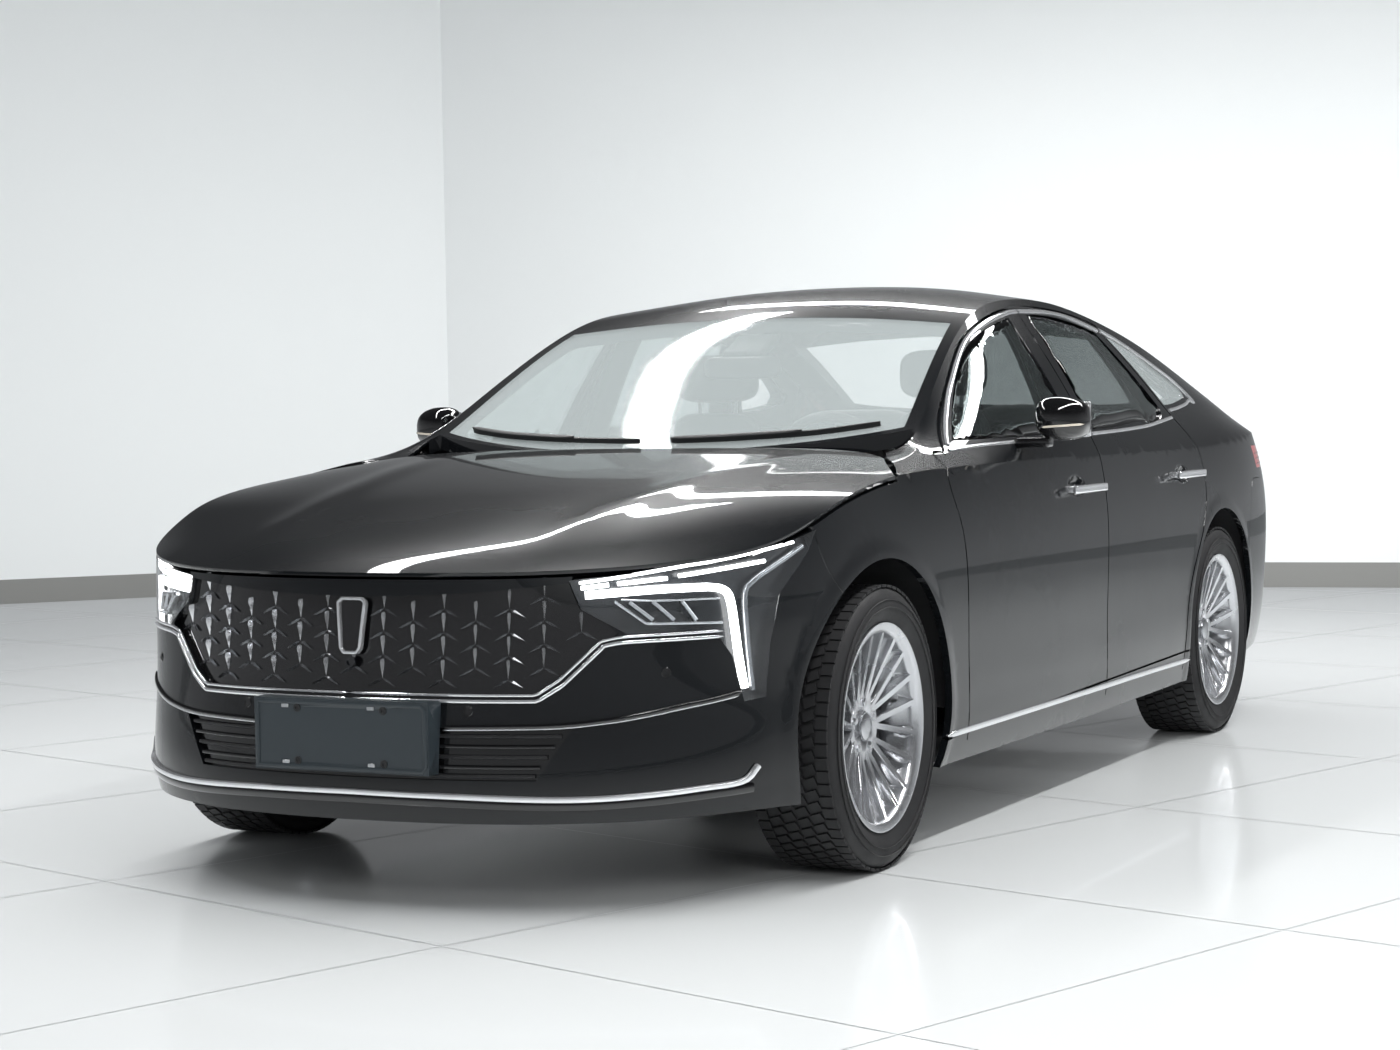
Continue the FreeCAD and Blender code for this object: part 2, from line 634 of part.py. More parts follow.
def widened(runs, reach):
    """Outline of drawn (x, z) runs grown sideways, down and up from its middle."""
    flat = [point for run in runs for point in run]
    middle = (min(z for _, z in flat) + max(z for _, z in flat)) / 2
    return [[(x + math.copysign(reach, x) if abs(x) > 1 else x, z + math.copysign(reach, z - middle))
             for x, z in run] for run in runs]


def build_shell():
    """Body panels, glass and lamps."""
    gap, thick = size("panel_gap"), size("skin_thickness")
    skin, wall = split_sides()
    flange, hood_thick = size("hood_flange"), size("hood_thickness")
    shut = edge_band(30, 60, -flange - gap, 150)
    above = slab((patch(dropped(HOOD, -40)), patch(dropped(HOOD, hood_thick + gap))))
    under_hood = above.cut(slab((patch(set_in(LOWER, [-40] * 6, LOWER_LEAN), 0, FIRST_ROOF_STATION + 1),
                                 patch(set_in(LOWER, [thick] * 6, LOWER_LEAN), 0, FIRST_ROOF_STATION + 1))))
    arch_space = cylinder_x(AXLE_Z + size("liner_gap") + 5.3, 0, SIDE_FAR, FRONT_AXLE_Y, AXLE_Z + 5)
    lamp_hole = view_prism(HEADLAMP, HEADLAMP_VIEW, across(1700), across(2600))
    headlamp = largest(deep_layer(0, size("lamp_depth")).common(lamp_hole).cut([shut, under_hood, arch_space]))
    nose_zone = front_prism(NOSE_PANEL, -2420, -2150)
    bumper = largest(nearest_solid(skin, 500, -2184, 479).cut(shut))
    nose = largest(bumper.common(nose_zone).cut(lamp_hole))
    screw_x, screw_z = size("plate_screw_width") / 2, up(381) + size("plate_screw_height") / 2
    screw_room = Part.makeCylinder(5, 200, Vector(screw_x, along(-2450), screw_z), Vector(0, 1, 0))
    bumper = largest(bumper.cut([lamp_hole, front_prism(GRILLE, -2420, -2000), front_prism(INTAKE, -2450, -2150),
                                 nose_zone, screw_room]))
    keep("front_bumper", whole(bumper))
    keep("nose_panel", whole(nose))
    keep("headlamps", both(headlamp))
    behind = deep_layer(thick + 0.3, thick + 16)
    grille = largest(behind.common(front_prism(widened(GRILLE, 9), -2420, -2000)).cut([lamp_hole, nose_zone, under_hood]))
    intake = largest(behind.common(front_prism(widened(INTAKE, 9), -2450, -2150)))
    keep("grilles", Part.makeCompound([whole(grille), whole(intake)]))
    corner = UPPER[0][0]
    behind_corner = above.common(box(0, SIDE_FAR, corner.y - 2, 0, 0, HIGH))
    keep("front_fenders", both(largest(nearest_solid(skin, 879, -1270, 716).cut([shut, behind_corner, lamp_hole]))))
    keep("sill_covers", both(nearest_solid(skin, 888, -44, 235)))

    lid_zone = box(-across(LID_HALF_WIDTH), across(LID_HALF_WIDTH), along(LID_FRONT_Y), along(2600),
                   up(BUMPER_REAR_TOP) + gap, HIGH)
    lid_hole = box(-across(LID_HALF_WIDTH) - gap, across(LID_HALF_WIDTH) + gap, along(LID_FRONT_Y) - gap, along(2600),
                   up(BUMPER_REAR_TOP) - 1, HIGH)
    side = nearest_solid(skin, 695, 1744, 901)
    y_low, z_low, z_high = TAIL_LAMP
    lamp_zone = box(across(TAIL_LAMP_IN), SIDE_FAR, along(y_low), along(2600), up(z_low), up(z_high))
    quarter = largest(side.cut([lid_hole, lamp_zone]))
    quarter_wall = nearest_solid(wall, 796, 1410, 921)
    top = slab((patch(TOP), patch(dropped(TOP, size("roof_thickness")))))
    rear_bumper = nearest_solid(skin, 583, 2164, 524)
    quarter = quarter.fuse(quarter_wall.cut(rear_bumper))
    keep("side_panels", both(largest(quarter.cut(top))))
    tail_deep = slab((patch(LOWER, LAST_WALL_STATION - 1, 22),
                      patch(set_in(LOWER, [size("lamp_depth") * 0.7] * 6, LOWER_LEAN), LAST_WALL_STATION - 1, 22)))
    keep("tail_lamps", both(largest(tail_deep.common(lamp_zone))))
    keep("rear_bumper", whole(rear_bumper))

    lid_skin = largest(side.common(lid_zone))
    lid_top = slab((patch(TOP), patch(dropped(TOP, hood_thick)))).common(lid_zone)
    arm = lid_arm()
    keep("trunk_lid", largest(whole(lid_skin).fuse(lid_top).fuse([arm, mirrored(arm)])))
    shield = plan_prism(mirrored_runs(WINDSHIELD), up(860), HIGH)
    back = plan_prism(mirrored_runs(REAR_WINDOW_PLAN), up(900), HIGH)
    cowl_cut = plan_prism(mirrored_runs(COWL_EDGE), up(800), HIGH)
    keep("roof", largest(top.cut([shield, back, lid_hole, cowl_cut])))

    hood = slab((patch(HOOD), patch(dropped(HOOD, hood_thick))))
    low, high = up(600), up(1100)
    rim = edge_band(30, thick + gap, -200, -flange)
    rear = ribbon([row[0] for row in UPPER], 2 * gap, low, high)
    post = Part.makeCylinder(gap, high - low, Vector(corner.x, corner.y, low))
    tools = [turned for tool in (rim, rear, post) for turned in (tool, mirrored(tool))]
    arm = hood_arm()
    keep("hood", largest(largest(hood.cut(tools)).fuse([arm, mirrored(arm)])))

    pane = slab((patch(dropped(TOP, 3)), patch(dropped(TOP, 3 + size("glass_thickness")))))
    share_low = size("glass_depth") / size("wall_thickness")
    share_high = share_low + size("glass_thickness") / size("wall_thickness")
    glass = side_slab(share_low, share_high, LAST_WALL_STATION)
    windows = {"front": FRONT_WINDOW, "rear": REAR_WINDOW, "quarter": QUARTER_WINDOW}
    panes = {name: largest(glass.common(side_prism(runs))) for name, runs in windows.items()}
    keep("fixed_windows", Part.makeCompound([largest(pane.common(shield)), largest(pane.common(back)),
                                             panes["quarter"], mirrored(panes["quarter"])]))
    for name, place in (("front", (885, -430, 650)), ("rear", (885, 578, 686))):
        door = largest(nearest_solid(skin, *place).fuse(nearest_solid(wall, *place)))
        pin_x, pin_y, heights = DOOR_HINGES[name]
        door = largest(door.cut([slot for z in heights for slot in hinge_room(across(pin_x), along(pin_y), up(z))]))
        for hand, turn in (("left", lambda shape: shape), ("right", mirrored)):
            keep(f"door_{name}_{hand}", turn(door))
            keep(f"door_{name}_glass_{hand}", turn(panes[name]))


def hinge_room(x, y, z):
    """Slot and pin hole that a left door leaves for one hinge."""
    near = SIDE_NEAR + 400
    half = size("hinge_pin") / 2
    corners = [(x + half + 1.2, y + half + 2), (near, y + half + 2), (near, y - 40), (x - 8, y - 40),
               (x + half + 1.2, y - half - 3)]
    points = [Vector(px, py, z - 1.2) for px, py in corners]
    slot = Part.Face(Part.makePolygon(points + points[:1])).extrude(Vector(0, 0, 10.4))
    hole = Part.makeCylinder(half + size("running_gap"), 21, Vector(x, y, z + 9))
    return [slot, hole]


def hinge_strap(x, y, z, frame):
    """Strap and pin of one door hinge on the left body frame."""
    half = size("hinge_pin") / 2
    reach = box(SIDE_NEAR + 400, x, y - half - 1, y + half + 1, z, z + 8)
    round_end = Part.makeCylinder(half + 1, 8, Vector(x, y, z))
    pin = Part.makeCylinder(half, 28, Vector(x, y, z))
    return max(reach.fuse([round_end, pin]).cut(frame).Solids, key=lambda solid: solid.BoundBox.XMax)


def hood_arm():
    """Left hinge arm under the hood."""
    x, y, z = at(*HOOD_HINGE)
    half = size("hinge_pin") / 2
    arm = box(x - 4, x + 4, y - 85, y, z - 8, z + 8).fuse(cylinder_x(8, x - 4, x + 4, y, z))
    return arm.cut(cylinder_x(half + size("running_gap"), x - 5, x + 5, y, z))


def lid_arm():
    """Left gooseneck arm of the trunk lid."""
    x, y, z = at(*LID_HINGE)
    half = size("hinge_pin") / 2
    reach = LID_ARM_RADIUS
    ring = cylinder_x(reach + 8, x - 5, x + 5, y, z).cut(cylinder_x(reach - 8, x - 6, x + 6, y, z))
    ring = ring.common(box(x - 6, x + 6, y - 8, y + 2 * reach, z - 2 * reach, z - 35))
    leg = box(x - 5, x + 5, y - 8, y + 8, z - reach, z).fuse(cylinder_x(13, x - 5, x + 5, y, z))
    end = box(x - 5, x + 5, y + reach - 9, y + reach + 7, z - 40, z - 2)
    return ring.fuse([leg, end]).cut(cylinder_x(half + size("running_gap"), x - 6, x + 6, y, z))


def deep_layer(outer, inner):
    """Layer behind the nose between two depths."""
    return slab((patch(set_in(LOWER, [outer] * 6, LOWER_LEAN), 0, FIRST_ROOF_STATION),
                 patch(set_in(LOWER, [inner] * 6, LOWER_LEAN), 0, FIRST_ROOF_STATION)))


FRAME_APERTURES = [
    [[(-945, 330), (-955, 640), (-950, 820)], [(-950, 820), (-850, 955)], [(-850, 955), (-545, 1098), (-325, 1208),
      (-135, 1264), (66, 1294)], [(66, 1294), (62, 330)], [(62, 330), (-945, 330)]],
    [[(180, 335), (214, 1302)], [(214, 1302), (420, 1310), (600, 1298), (828, 1268)], [(828, 1268), (1055, 1015)],
     [(1055, 1015), (1090, 930), (1062, 820), (985, 700)], [(985, 700), (880, 560), (815, 420), (800, 335)],
     [(800, 335), (180, 335)]],
]


TOWER_X = 490.0


def build_structure():
    """Door frames, floor, walls and the front and rear structure that carry the panels."""
    thick = size("floor_thickness")
    wall = size("wall_thickness")
    low_share = 1 + size("frame_gap") / wall
    high_share = low_share + size("frame_thickness") / wall
    top = slab((patch(TOP), patch(dropped(TOP, size("roof_thickness")))))
    far = along(2600)
    frame = frame_slab(low_share, high_share)
    tools = [side_prism(runs) for runs in FRAME_APERTURES + [QUARTER_WINDOW]]
    tools += [arch(y, AXLE_Z + size("liner_gap") + 8, -100) for y in (FRONT_AXLE_Y, REAR_AXLE_Y)]
    tools += [box(0, SIDE_FAR, -far, along(-938), up(840), HIGH), box(0, SIDE_FAR, along(1500), far, 0, HIGH), top]
    frame = largest(frame.cut(tools))
    rocker = side_slab((size("skin_thickness") + 0.3) / wall, low_share, LAST_WALL_STATION)
    rocker = largest(rocker.common(box(0, SIDE_FAR, along(-1060), along(850), 0, up(250))))
    straps = [hinge_strap(across(x), along(y), up(z), frame)
              for x, y, heights in DOOR_HINGES.values() for z in heights]
    keep("door_frames", both(largest(frame.fuse([rocker] + straps))))

    floor_low = size("floor_height")
    floor_top = floor_low + thick
    inner = inner_volume(wall + size("frame_gap") + 2)
    base = box(-900, 900, along(-1060), along(850), floor_low, floor_top)
    tunnel = box(-105, 105, along(-1060), along(850), floor_top, floor_top + 160)
    firewall = box(-900, 900, along(-1060), along(-1040), floor_low, up(900))
    cowl = largest(box(0, 700, along(-1060), along(-850), up(885), up(918)).cut(top))
    x, y, z = at(*HOOD_HINGE)
    pin = size("hinge_pin") / 2
    hood_bracket = box(x + 4.3, x + 12, y - 10, y + 10, up(910), z + 8).fuse(cylinder_x(pin, x - 6, x + 12, y, z))
    x, y, z = at(*LID_HINGE)
    lid_bracket = box(x + 5.3, x + 13, y - 45, y + 12, up(890), z + 12).fuse(cylinder_x(pin, x - 8, x + 13, y, z))
    riser = box(-560, 560, along(850) - thick, along(850), floor_top, up(420))
    boot = box(-560, 560, along(850) - thick, along(2215), up(380), up(420))
    back = box(-560, 560, along(2185), along(2215), up(420), up(780))
    shelf = box(-700, 700, along(1290), along(1860), up(890), up(904))
    bulkhead = box(-560, 560, along(1290), along(1315), up(420), up(890))
    cabin = base.fuse([tunnel, firewall, riser, boot, back, bulkhead, shelf])
    half = cabin.common(box(0, 900, -far, far, 0, HIGH)).common(inner).cut(frame)
    keep("floor", largest(whole(largest(half).fuse([cowl, hood_bracket, lid_bracket]))))

    rail = box(400, 470, along(-2150), along(-1060), up(420), up(520))
    tower = box(470, TOWER_X, along(-1905), along(-1060), up(420), up(790))
    cross = box(-470, 470, along(-2220), along(-2150), up(430), up(530))
    upper_cross = box(-490, 490, along(-2130), along(-2070), up(640), up(700))
    leg = box(400, 490, along(-2130), along(-2070), up(520), up(640))
    front = cross.fuse([rail, mirrored(rail), tower, mirrored(tower), upper_cross, leg, mirrored(leg)])
    keep("front_structure", largest(front))
    keep("engine_block", box(-320, 320, along(-1960), along(-1240), AXLE_Z - 60, up(770)))


def build_liners():
    """Inner arches over the wheels, seated on the inside of the panels."""
    reach = AXLE_Z + size("liner_gap")
    inside = inner_volume(size("skin_thickness") + 0.3)
    shells = []
    for y, x_low in ((FRONT_AXLE_Y, TOWER_X + 0.3), (REAR_AXLE_Y, 560.3)):
        outer = cylinder_x(reach + 5, x_low, SIDE_FAR, y, AXLE_Z + 5)
        ring = outer.cut(cylinder_x(reach, x_low - 1, SIDE_FAR, y, AXLE_Z + 5))
        ring = ring.cut(box(0, SIDE_FAR, y - 800, y + 800, -200, AXLE_Z))
        shells.append(largest(ring.common(inside)))
    keep("wheel_liners", Part.makeCompound([turned for shell in shells for turned in (shell, mirrored(shell))]))


def tyre_shape():
    """Tyre of the left front wheel about its own middle, turned about X."""
    radius, half = AXLE_Z, size("tyre_width") / 2
    seat = size("rim_diameter") / 2
    rim_half = size("rim_width") / 2
    lip = seat + size("rim_lip") + 3
    outline = [(-rim_half + 9, seat), (-rim_half + 9, lip), (-half, seat + 56), (-half + 22, radius - 9),
               (-half + 44, radius)]
    outline += [(-x, r) for x, r in reversed(outline)]
    points = [Vector(x, 0, r) for x, r in outline]
    tyre = Part.Face(Part.makePolygon(points + points[:1])).revolve(Vector(0, 0, 0), Vector(1, 0, 0), 360)
    return tyre


def rim_shape():
    """Rim, spokes and hub of the left wheels, about their own middle."""
    seat, half = size("rim_diameter") / 2, size("rim_width") / 2
    lip = seat + size("rim_lip")
    well = seat - 26
    face = [(-half, lip), (-half + 9, lip), (-half + 9, seat), (-half + 46, seat - 3), (-half + 66, well), (30, well),
            (half - 40, seat - 4), (half - 9, seat), (half - 9, lip), (half, lip), (half, lip - 5), (half - 8, seat - 9),
            (half - 38, seat - 14), (26, well - 8), (-half + 66, well - 8), (-half, seat - 8)]
    points = [Vector(x, 0, r) for x, r in face]
    barrel = Part.Face(Part.makePolygon(points + points[:1])).revolve(Vector(0, 0, 0), Vector(1, 0, 0), 360)
    hub_face, hub_back = half - 52, half - 88
    hub = cylinder_x(78, hub_back, hub_face, 0, 0).cut(cylinder_x(size("cap_diameter") / 2, hub_face - 12, hub_face, 0, 0))
    spokes = []
    count = int(round(size("spoke_count")))
    for index in range(count):
        for side in (-1, 1):
            aside = Vector(0, side, 0)
            root = [Vector(hub_back + 6, side * 9, 60), Vector(hub_face, side * 9, 60)]
            tip = [Vector(half - 46, side * 26, seat - 8), Vector(half - 12, side * 26, seat - 8)]
            corners = root + tip[::-1]
            blade = Part.Face(Part.makePolygon(corners + corners[:1])).extrude(aside * 13)
            blade.rotate(Vector(0, 0, 0), Vector(1, 0, 0), 360 * index / count)
            spokes.append(blade)
    wheel = barrel.fuse([hub] + spokes)
    holes = []
    studs = int(round(size("stud_count")))
    for index in range(studs):
        turn = 2 * math.pi * index / studs
        ring = size("stud_circle") / 2
        holes.append(cylinder_x(9, hub_back, hub_face + 1, ring * math.sin(turn), ring * math.cos(turn)))
    return largest(wheel.cut(holes))


def disc_shape():
    """Brake disc with its hat and the hub, about the wheel's middle."""
    half = size("rim_width") / 2
    seat = half - 88.3
    radius, thick = size("disc_diameter") / 2, size("disc_thickness")
    disc = cylinder_x(radius, seat - 52, seat - 52 + thick, 0, 0)
    hat = cylinder_x(82, seat - 52, seat, 0, 0)
    return disc.fuse(hat).cut(cylinder_x(66, seat - 60, seat - 8, 0, 0)).removeSplitter()


def build_wheels():
    """Tyres, rims and discs at the four corners."""
    tyre, rim, disc = tyre_shape(), rim_shape(), disc_shape()
    for end, y in (("front", FRONT_AXLE_Y), ("rear", REAR_AXLE_Y)):
        for hand in ("left", "right"):
            for label, shape in (("tyre", tyre), ("rim", Part.makeCompound([rim, disc]))):
                piece = shape.copy()
                piece.translate(Vector(WHEEL_X, y, AXLE_Z))
                keep(f"{label}_{end}_{hand}", piece if hand == "left" else mirrored(piece))


KINGPIN_X = 700.0


def build_suspension():
    """Knuckles, axles and arms that carry the wheels."""
    half = size("rim_width") / 2
    seat = WHEEL_X + half - 88.3
    disc_back = seat - 52
    y = FRONT_AXLE_Y
    spindle = cylinder_x(30, KINGPIN_X - 20, seat - 8.3, y, AXLE_Z)
    upright = box(KINGPIN_X - 26, disc_back - 8, y - 34, y + 34, AXLE_Z - 120, AXLE_Z + 105)
    radius = size("disc_diameter") / 2
    caliper_out = disc_back + size("disc_thickness") + 30
    block = box(disc_back - 34, caliper_out, y - 76, y + 76, AXLE_Z, AXLE_Z + radius + 16)
    slot = cylinder_x(radius + 5, disc_back - 5, disc_back + size("disc_thickness") + 5, y, AXLE_Z)
    block = block.cut([slot, cylinder_x(radius - 46, 0, SIDE_FAR, y, AXLE_Z)])
    front_block = block.copy()
    front_block.rotate(Vector(0, y, AXLE_Z), Vector(1, 0, 0), -90)
    strap = box(KINGPIN_X - 20, disc_back - 8, y + 20, y + radius, AXLE_Z - 26, AXLE_Z + 26)
    knuckle = largest(upright.fuse([spindle, front_block, strap]))
    keep("knuckle_left", knuckle)
    keep("knuckle_right", mirrored(knuckle))

    arm_low, arm_top = AXLE_Z - 165, AXLE_Z - 120.3
    arm = box(330, KINGPIN_X + 12, y - 30, y + 30, arm_low, arm_top)
    cross = box(-330, 330, y - 60, y + 200, arm_low, AXLE_Z - 60)
    ear = box(321, 470, y - 60, y + 200, AXLE_Z - 110, up(420))
    carrier = largest(cross.fuse([arm, mirrored(arm), ear, mirrored(ear)]))
    fork = [Vector(KINGPIN_X + 12, y - 22, 0), Vector(KINGPIN_X + 12, y + 22, 0), Vector(TOWER_X, y + 125, 0),
            Vector(TOWER_X, y + 95, 0), Vector(KINGPIN_X - 30, y, 0), Vector(TOWER_X, y - 95, 0),
            Vector(TOWER_X, y - 125, 0)]
    fork = Part.Face(Part.makePolygon(fork + fork[:1])).extrude(Vector(0, 0, 18))
    fork.translate(Vector(0, 0, AXLE_Z + 105.3))
    strut_x = (TOWER_X + KINGPIN_X) / 2
    strut = Part.makeCylinder(26, up(735) - arm_top, Vector(strut_x, y, arm_top))
    mount = box(TOWER_X, strut_x + 50, y - 60, y + 60, up(735), up(750))
    strut = largest(strut.fuse(mount))
    keep("front_suspension", Part.makeCompound([carrier, fork, mirrored(fork), strut, mirrored(strut)]))

    y = REAR_AXLE_Y
    beam = box(-570, 570, y - 40, y + 60, AXLE_Z - 95, AXLE_Z - 10)
    plate = box(565, disc_back - 8, y - 40, y + 40, AXLE_Z - 95, AXLE_Z + 90)
    spindle = cylinder_x(30, disc_back - 40, seat - 8.3, y, AXLE_Z)
    back_block = block.copy()
    back_block.translate(Vector(0, REAR_AXLE_Y - FRONT_AXLE_Y, 0))
    back_block.rotate(Vector(0, y, AXLE_Z), Vector(1, 0, 0), -90)
    strap = box(disc_back - 60, disc_back - 8, y + 20, y + radius, AXLE_Z - 26, AXLE_Z + 26)
    side = plate.fuse([spindle, back_block, strap])
    post = box(480, 540, y - 20, y + 40, AXLE_Z - 60, up(380))
    keep("rear_axle", largest(beam.fuse([side, mirrored(side), post, mirrored(post)])))


def build_cabin():
    """Seats, dashboard and steering wheel."""
    floor_top = size("floor_height") + size("floor_thickness")
    half = size("seat_width") / 2
    seats = []
    for x in (370, -370):
        cushion = box(x - half, x + half, along(-330), along(190), up(340), up(480))
        leg = box(x - half + 60, x + half - 60, along(-260), along(120), floor_top, up(340))
        back = box(x - half + 20, x + half - 20, along(150), along(290), up(440), up(1060))
        head = box(x - 140, x + 140, along(190), along(290), up(1060), up(1230))
        seats.append(largest(cushion.fuse([leg, back, head])))
    bench = box(-620, 620, along(740), along(1190), up(420), up(560))
    rest = box(-620, 620, along(1150), along(1290), up(420), up(1060))
    reach = AXLE_Z + size("liner_gap") + 6
    houses = [cylinder_x(reach, 560, SIDE_FAR, REAR_AXLE_Y, AXLE_Z + 5),
              cylinder_x(reach, -SIDE_FAR, -560, REAR_AXLE_Y, AXLE_Z + 5)]
    keep("seats", Part.makeCompound(seats + [largest(bench.fuse(rest).cut(houses))]))
    dash = box(-690, 690, along(-1040), along(-700), up(640), up(885))
    console = box(-110, 110, along(-700), along(150), floor_top + 160, up(560))
    keep("dashboard", largest(dash.fuse([console, box(-110, 110, along(-760), along(-690), floor_top + 160, up(660))])))
    radius = size("steering_wheel_diameter") / 2
    wheel = Part.makeTorus(radius - 15, 15).fuse([Part.makeCylinder(70, 40, Vector(0, 0, -30)),
                                                  Part.makeBox(2 * radius - 40, 40, 20, Vector(20 - radius, -20, -20))])
    column = Part.makeCylinder(30, 280, Vector(0, 0, -300))
    wheel = largest(wheel.fuse(column))
    wheel.rotate(Vector(0, 0, 0), Vector(1, 0, 0), -65 + 180)
    wheel.translate(at(370, -540, 880))
    keep("steering_wheel", largest(wheel.cut(dash)))


def build_fittings():
    """Mirrors, handles, plate carrier, wipers, exhaust and tank."""
    head = box(across(905), across(1030), along(-490), along(-340), up(965), up(1085))
    head = head.makeFillet(22, head.Edges)
    stalk = box(across(826), across(912), along(-460), along(-420), up(948), up(975))
    mirror = largest(head.fuse(stalk))
    skin = side_slab(0, SKIN_SHARE, LAST_WALL_STATION)
    mirror = largest(mirror.cut(skin))
    handles = {}
    for name, (y_low, y_high, z) in {"front": (-208, 60, 830), "rear": (775, 1050, 840)}.items():
        bar = box(across(880), across(928), along(y_low), along(y_high), up(z) - 14, up(z) + 14)
        cut = box(across(860), across(917), along(y_low) + 45, along(y_high) - 45, up(z) - 30, up(z) + 30)
        handles[name] = largest(bar.cut([cut, skin]))
    for hand, turn in (("left", lambda shape: shape), ("right", mirrored)):
        keep(f"door_front_fittings_{hand}", Part.makeCompound([turn(mirror), turn(handles["front"])]))
        keep(f"door_rear_handle_{hand}", turn(handles["rear"]))
    width, height = size("plate_width") / 2, size("plate_height") / 2
    plate = box(0, width, along(-2405), along(-2300), up(381) - height, up(381) + height)
    screw_x, screw_rise = size("plate_screw_width") / 2, size("plate_screw_height") / 2
    screws = [Part.makeCylinder(size("plate_screw_hole") / 2, 200, Vector(screw_x, along(-2450), up(381) + rise),
                                Vector(0, 1, 0)) for rise in (-screw_rise, screw_rise)]
    keep("plate_carrier", whole(largest(plate.cut(inner_volume(0)).cut(screws))))

    tank = box(-400, 400, along(880), along(1200), up(235), up(380))
    muffler = box(-450, 450, along(1700), along(2080), up(262), up(380))
    inside = inner_volume(size("skin_thickness") + 0.3)
    nose = box(0, SIDE_FAR, along(-2420), along(-1960), up(206), up(210))
    belly = box(0, TOWER_X - 10, along(-1960), FRONT_AXLE_Y - 60.3, up(206), up(210))
    tray = whole(largest(nose.fuse(belly).common(inside)))
    keep("underbody", Part.makeCompound([tank, muffler, tray]))


def finish():
    """Check every object and write each sub-part to its own file."""
    doc.recompute()
    for item in doc.Objects:
        assert not {"Invalid", "Error"} & set(item.State), item.Label
    os.makedirs("parts", exist_ok=True)
    for item in node_objects:
        assert not item.Shape.isNull() and item.Shape.isValid(), item.Label
        item.Shape.exportStep(f"parts/{item.Label}.step")


if __name__ == "__main__":
    build_shell()
    build_structure()
    build_liners()
    build_wheels()
    build_suspension()
    build_cabin()
    build_fittings()
    finish()
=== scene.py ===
"""Sedan car: every surface, lamp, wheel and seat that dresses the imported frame, with its showroom and camera.

Lengths are metres in the frame's own axes: +Z up, the nose points to -Y, +X is the car's left side. The lines
of the outer skin are the construction's own, drawn in millimetres, so each panel follows the same smooth surface.
"""

import json
import logging
import math
from dataclasses import dataclass
from enum import Enum
from typing import Callable, Iterable, Sequence

import bmesh
import bpy
import numpy as np
from bpy.types import Material, Mesh, Node, NodeTree, Object
from mathutils import Matrix, Vector
from mathutils.kdtree import KDTree


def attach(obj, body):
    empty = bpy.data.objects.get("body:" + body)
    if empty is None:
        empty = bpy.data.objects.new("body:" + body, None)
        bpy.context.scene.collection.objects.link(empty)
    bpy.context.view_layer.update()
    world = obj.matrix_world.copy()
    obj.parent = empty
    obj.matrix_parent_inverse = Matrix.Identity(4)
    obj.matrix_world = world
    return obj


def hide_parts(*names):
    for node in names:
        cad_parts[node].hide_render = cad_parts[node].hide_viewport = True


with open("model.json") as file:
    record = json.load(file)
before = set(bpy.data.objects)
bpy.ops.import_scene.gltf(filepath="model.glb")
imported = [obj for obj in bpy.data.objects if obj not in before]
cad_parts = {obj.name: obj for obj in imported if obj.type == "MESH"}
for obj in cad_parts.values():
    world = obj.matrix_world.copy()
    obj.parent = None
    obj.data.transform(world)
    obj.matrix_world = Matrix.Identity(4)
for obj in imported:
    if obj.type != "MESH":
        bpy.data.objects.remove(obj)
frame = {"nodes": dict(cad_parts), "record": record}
LOG = logging.getLogger("sedan")
Array = np.ndarray
MM = 0.001
PHOTO_SIZE = (1400, 1050)
SIDES = (("left", 1.0), ("right", -1.0))

# The band round the car at its widest height, from the middle of the nose to the middle of the tail (x, y)
WAIST = [
    (0, -2349), (250, -2349), (500, -2272), (690, -2135), (800, -1990), (862, -1850), (892, -1690),
    (908, -1520), (912, -1340), (914, -1050), (917, -600), (918, -250), (918, 50), (918, 550), (918, 1000),
    (918, 1300), (908, 1650), (882, 1930), (855, 2060), (785, 2205), (600, 2340), (290, 2404), (0, 2404),
]
# Side profiles: station of the band, then (outward from the waist, height), from the lower edge up
PROFILES = [
    (0, [(23, 196), (38, 255), (14, 430), (0, 600), (-6, 668)]),
    (2, [(20, 197), (34, 256), (10, 430), (0, 600), (-6, 672)]),
    (4, [(-6, 203), (12, 266), (-6, 430), (0, 600), (-2, 692)]),
    (6, [(-22, 198), (-2, 270), (-4, 436), (0, 606), (-4, 742)]),
    (9, [(-32, 192), (-6, 266), (-8, 440), (0, 615), (-8, 785)]),
    (12, [(-34, 192), (-8, 270), (-12, 445), (0, 615), (-12, 792)]),
    (15, [(-32, 205), (-8, 284), (-6, 460), (0, 628), (-10, 800)]),
    (18, [(-45, 245), (-22, 322), (-8, 495), (0, 650), (-6, 815)]),
    (22, [(-50, 262), (-22, 345), (2, 510), (0, 660), (-6, 822)]),
]
# The crease along the shoulder, which is the edge of the hood in front (x, y, z)
CREASE = [
    (0, -2333, 728), (248, -2333, 728), (488, -2278, 732), (672, -2150, 744), (792, -1996, 762),
    (845, -1858, 800), (866, -1700, 858), (862, -1520, 886), (853, -1340, 905), (857, -1050, 913),
    (866, -600, 916), (870, -250, 917), (874, 50, 917), (871, 550, 917), (864, 1000, 917), (860, 1300, 920),
    (852, 1650, 930), (828, 1940, 944), (800, 2075, 950), (745, 2190, 956), (570, 2322, 962),
    (280, 2386, 967), (0, 2386, 967),
]
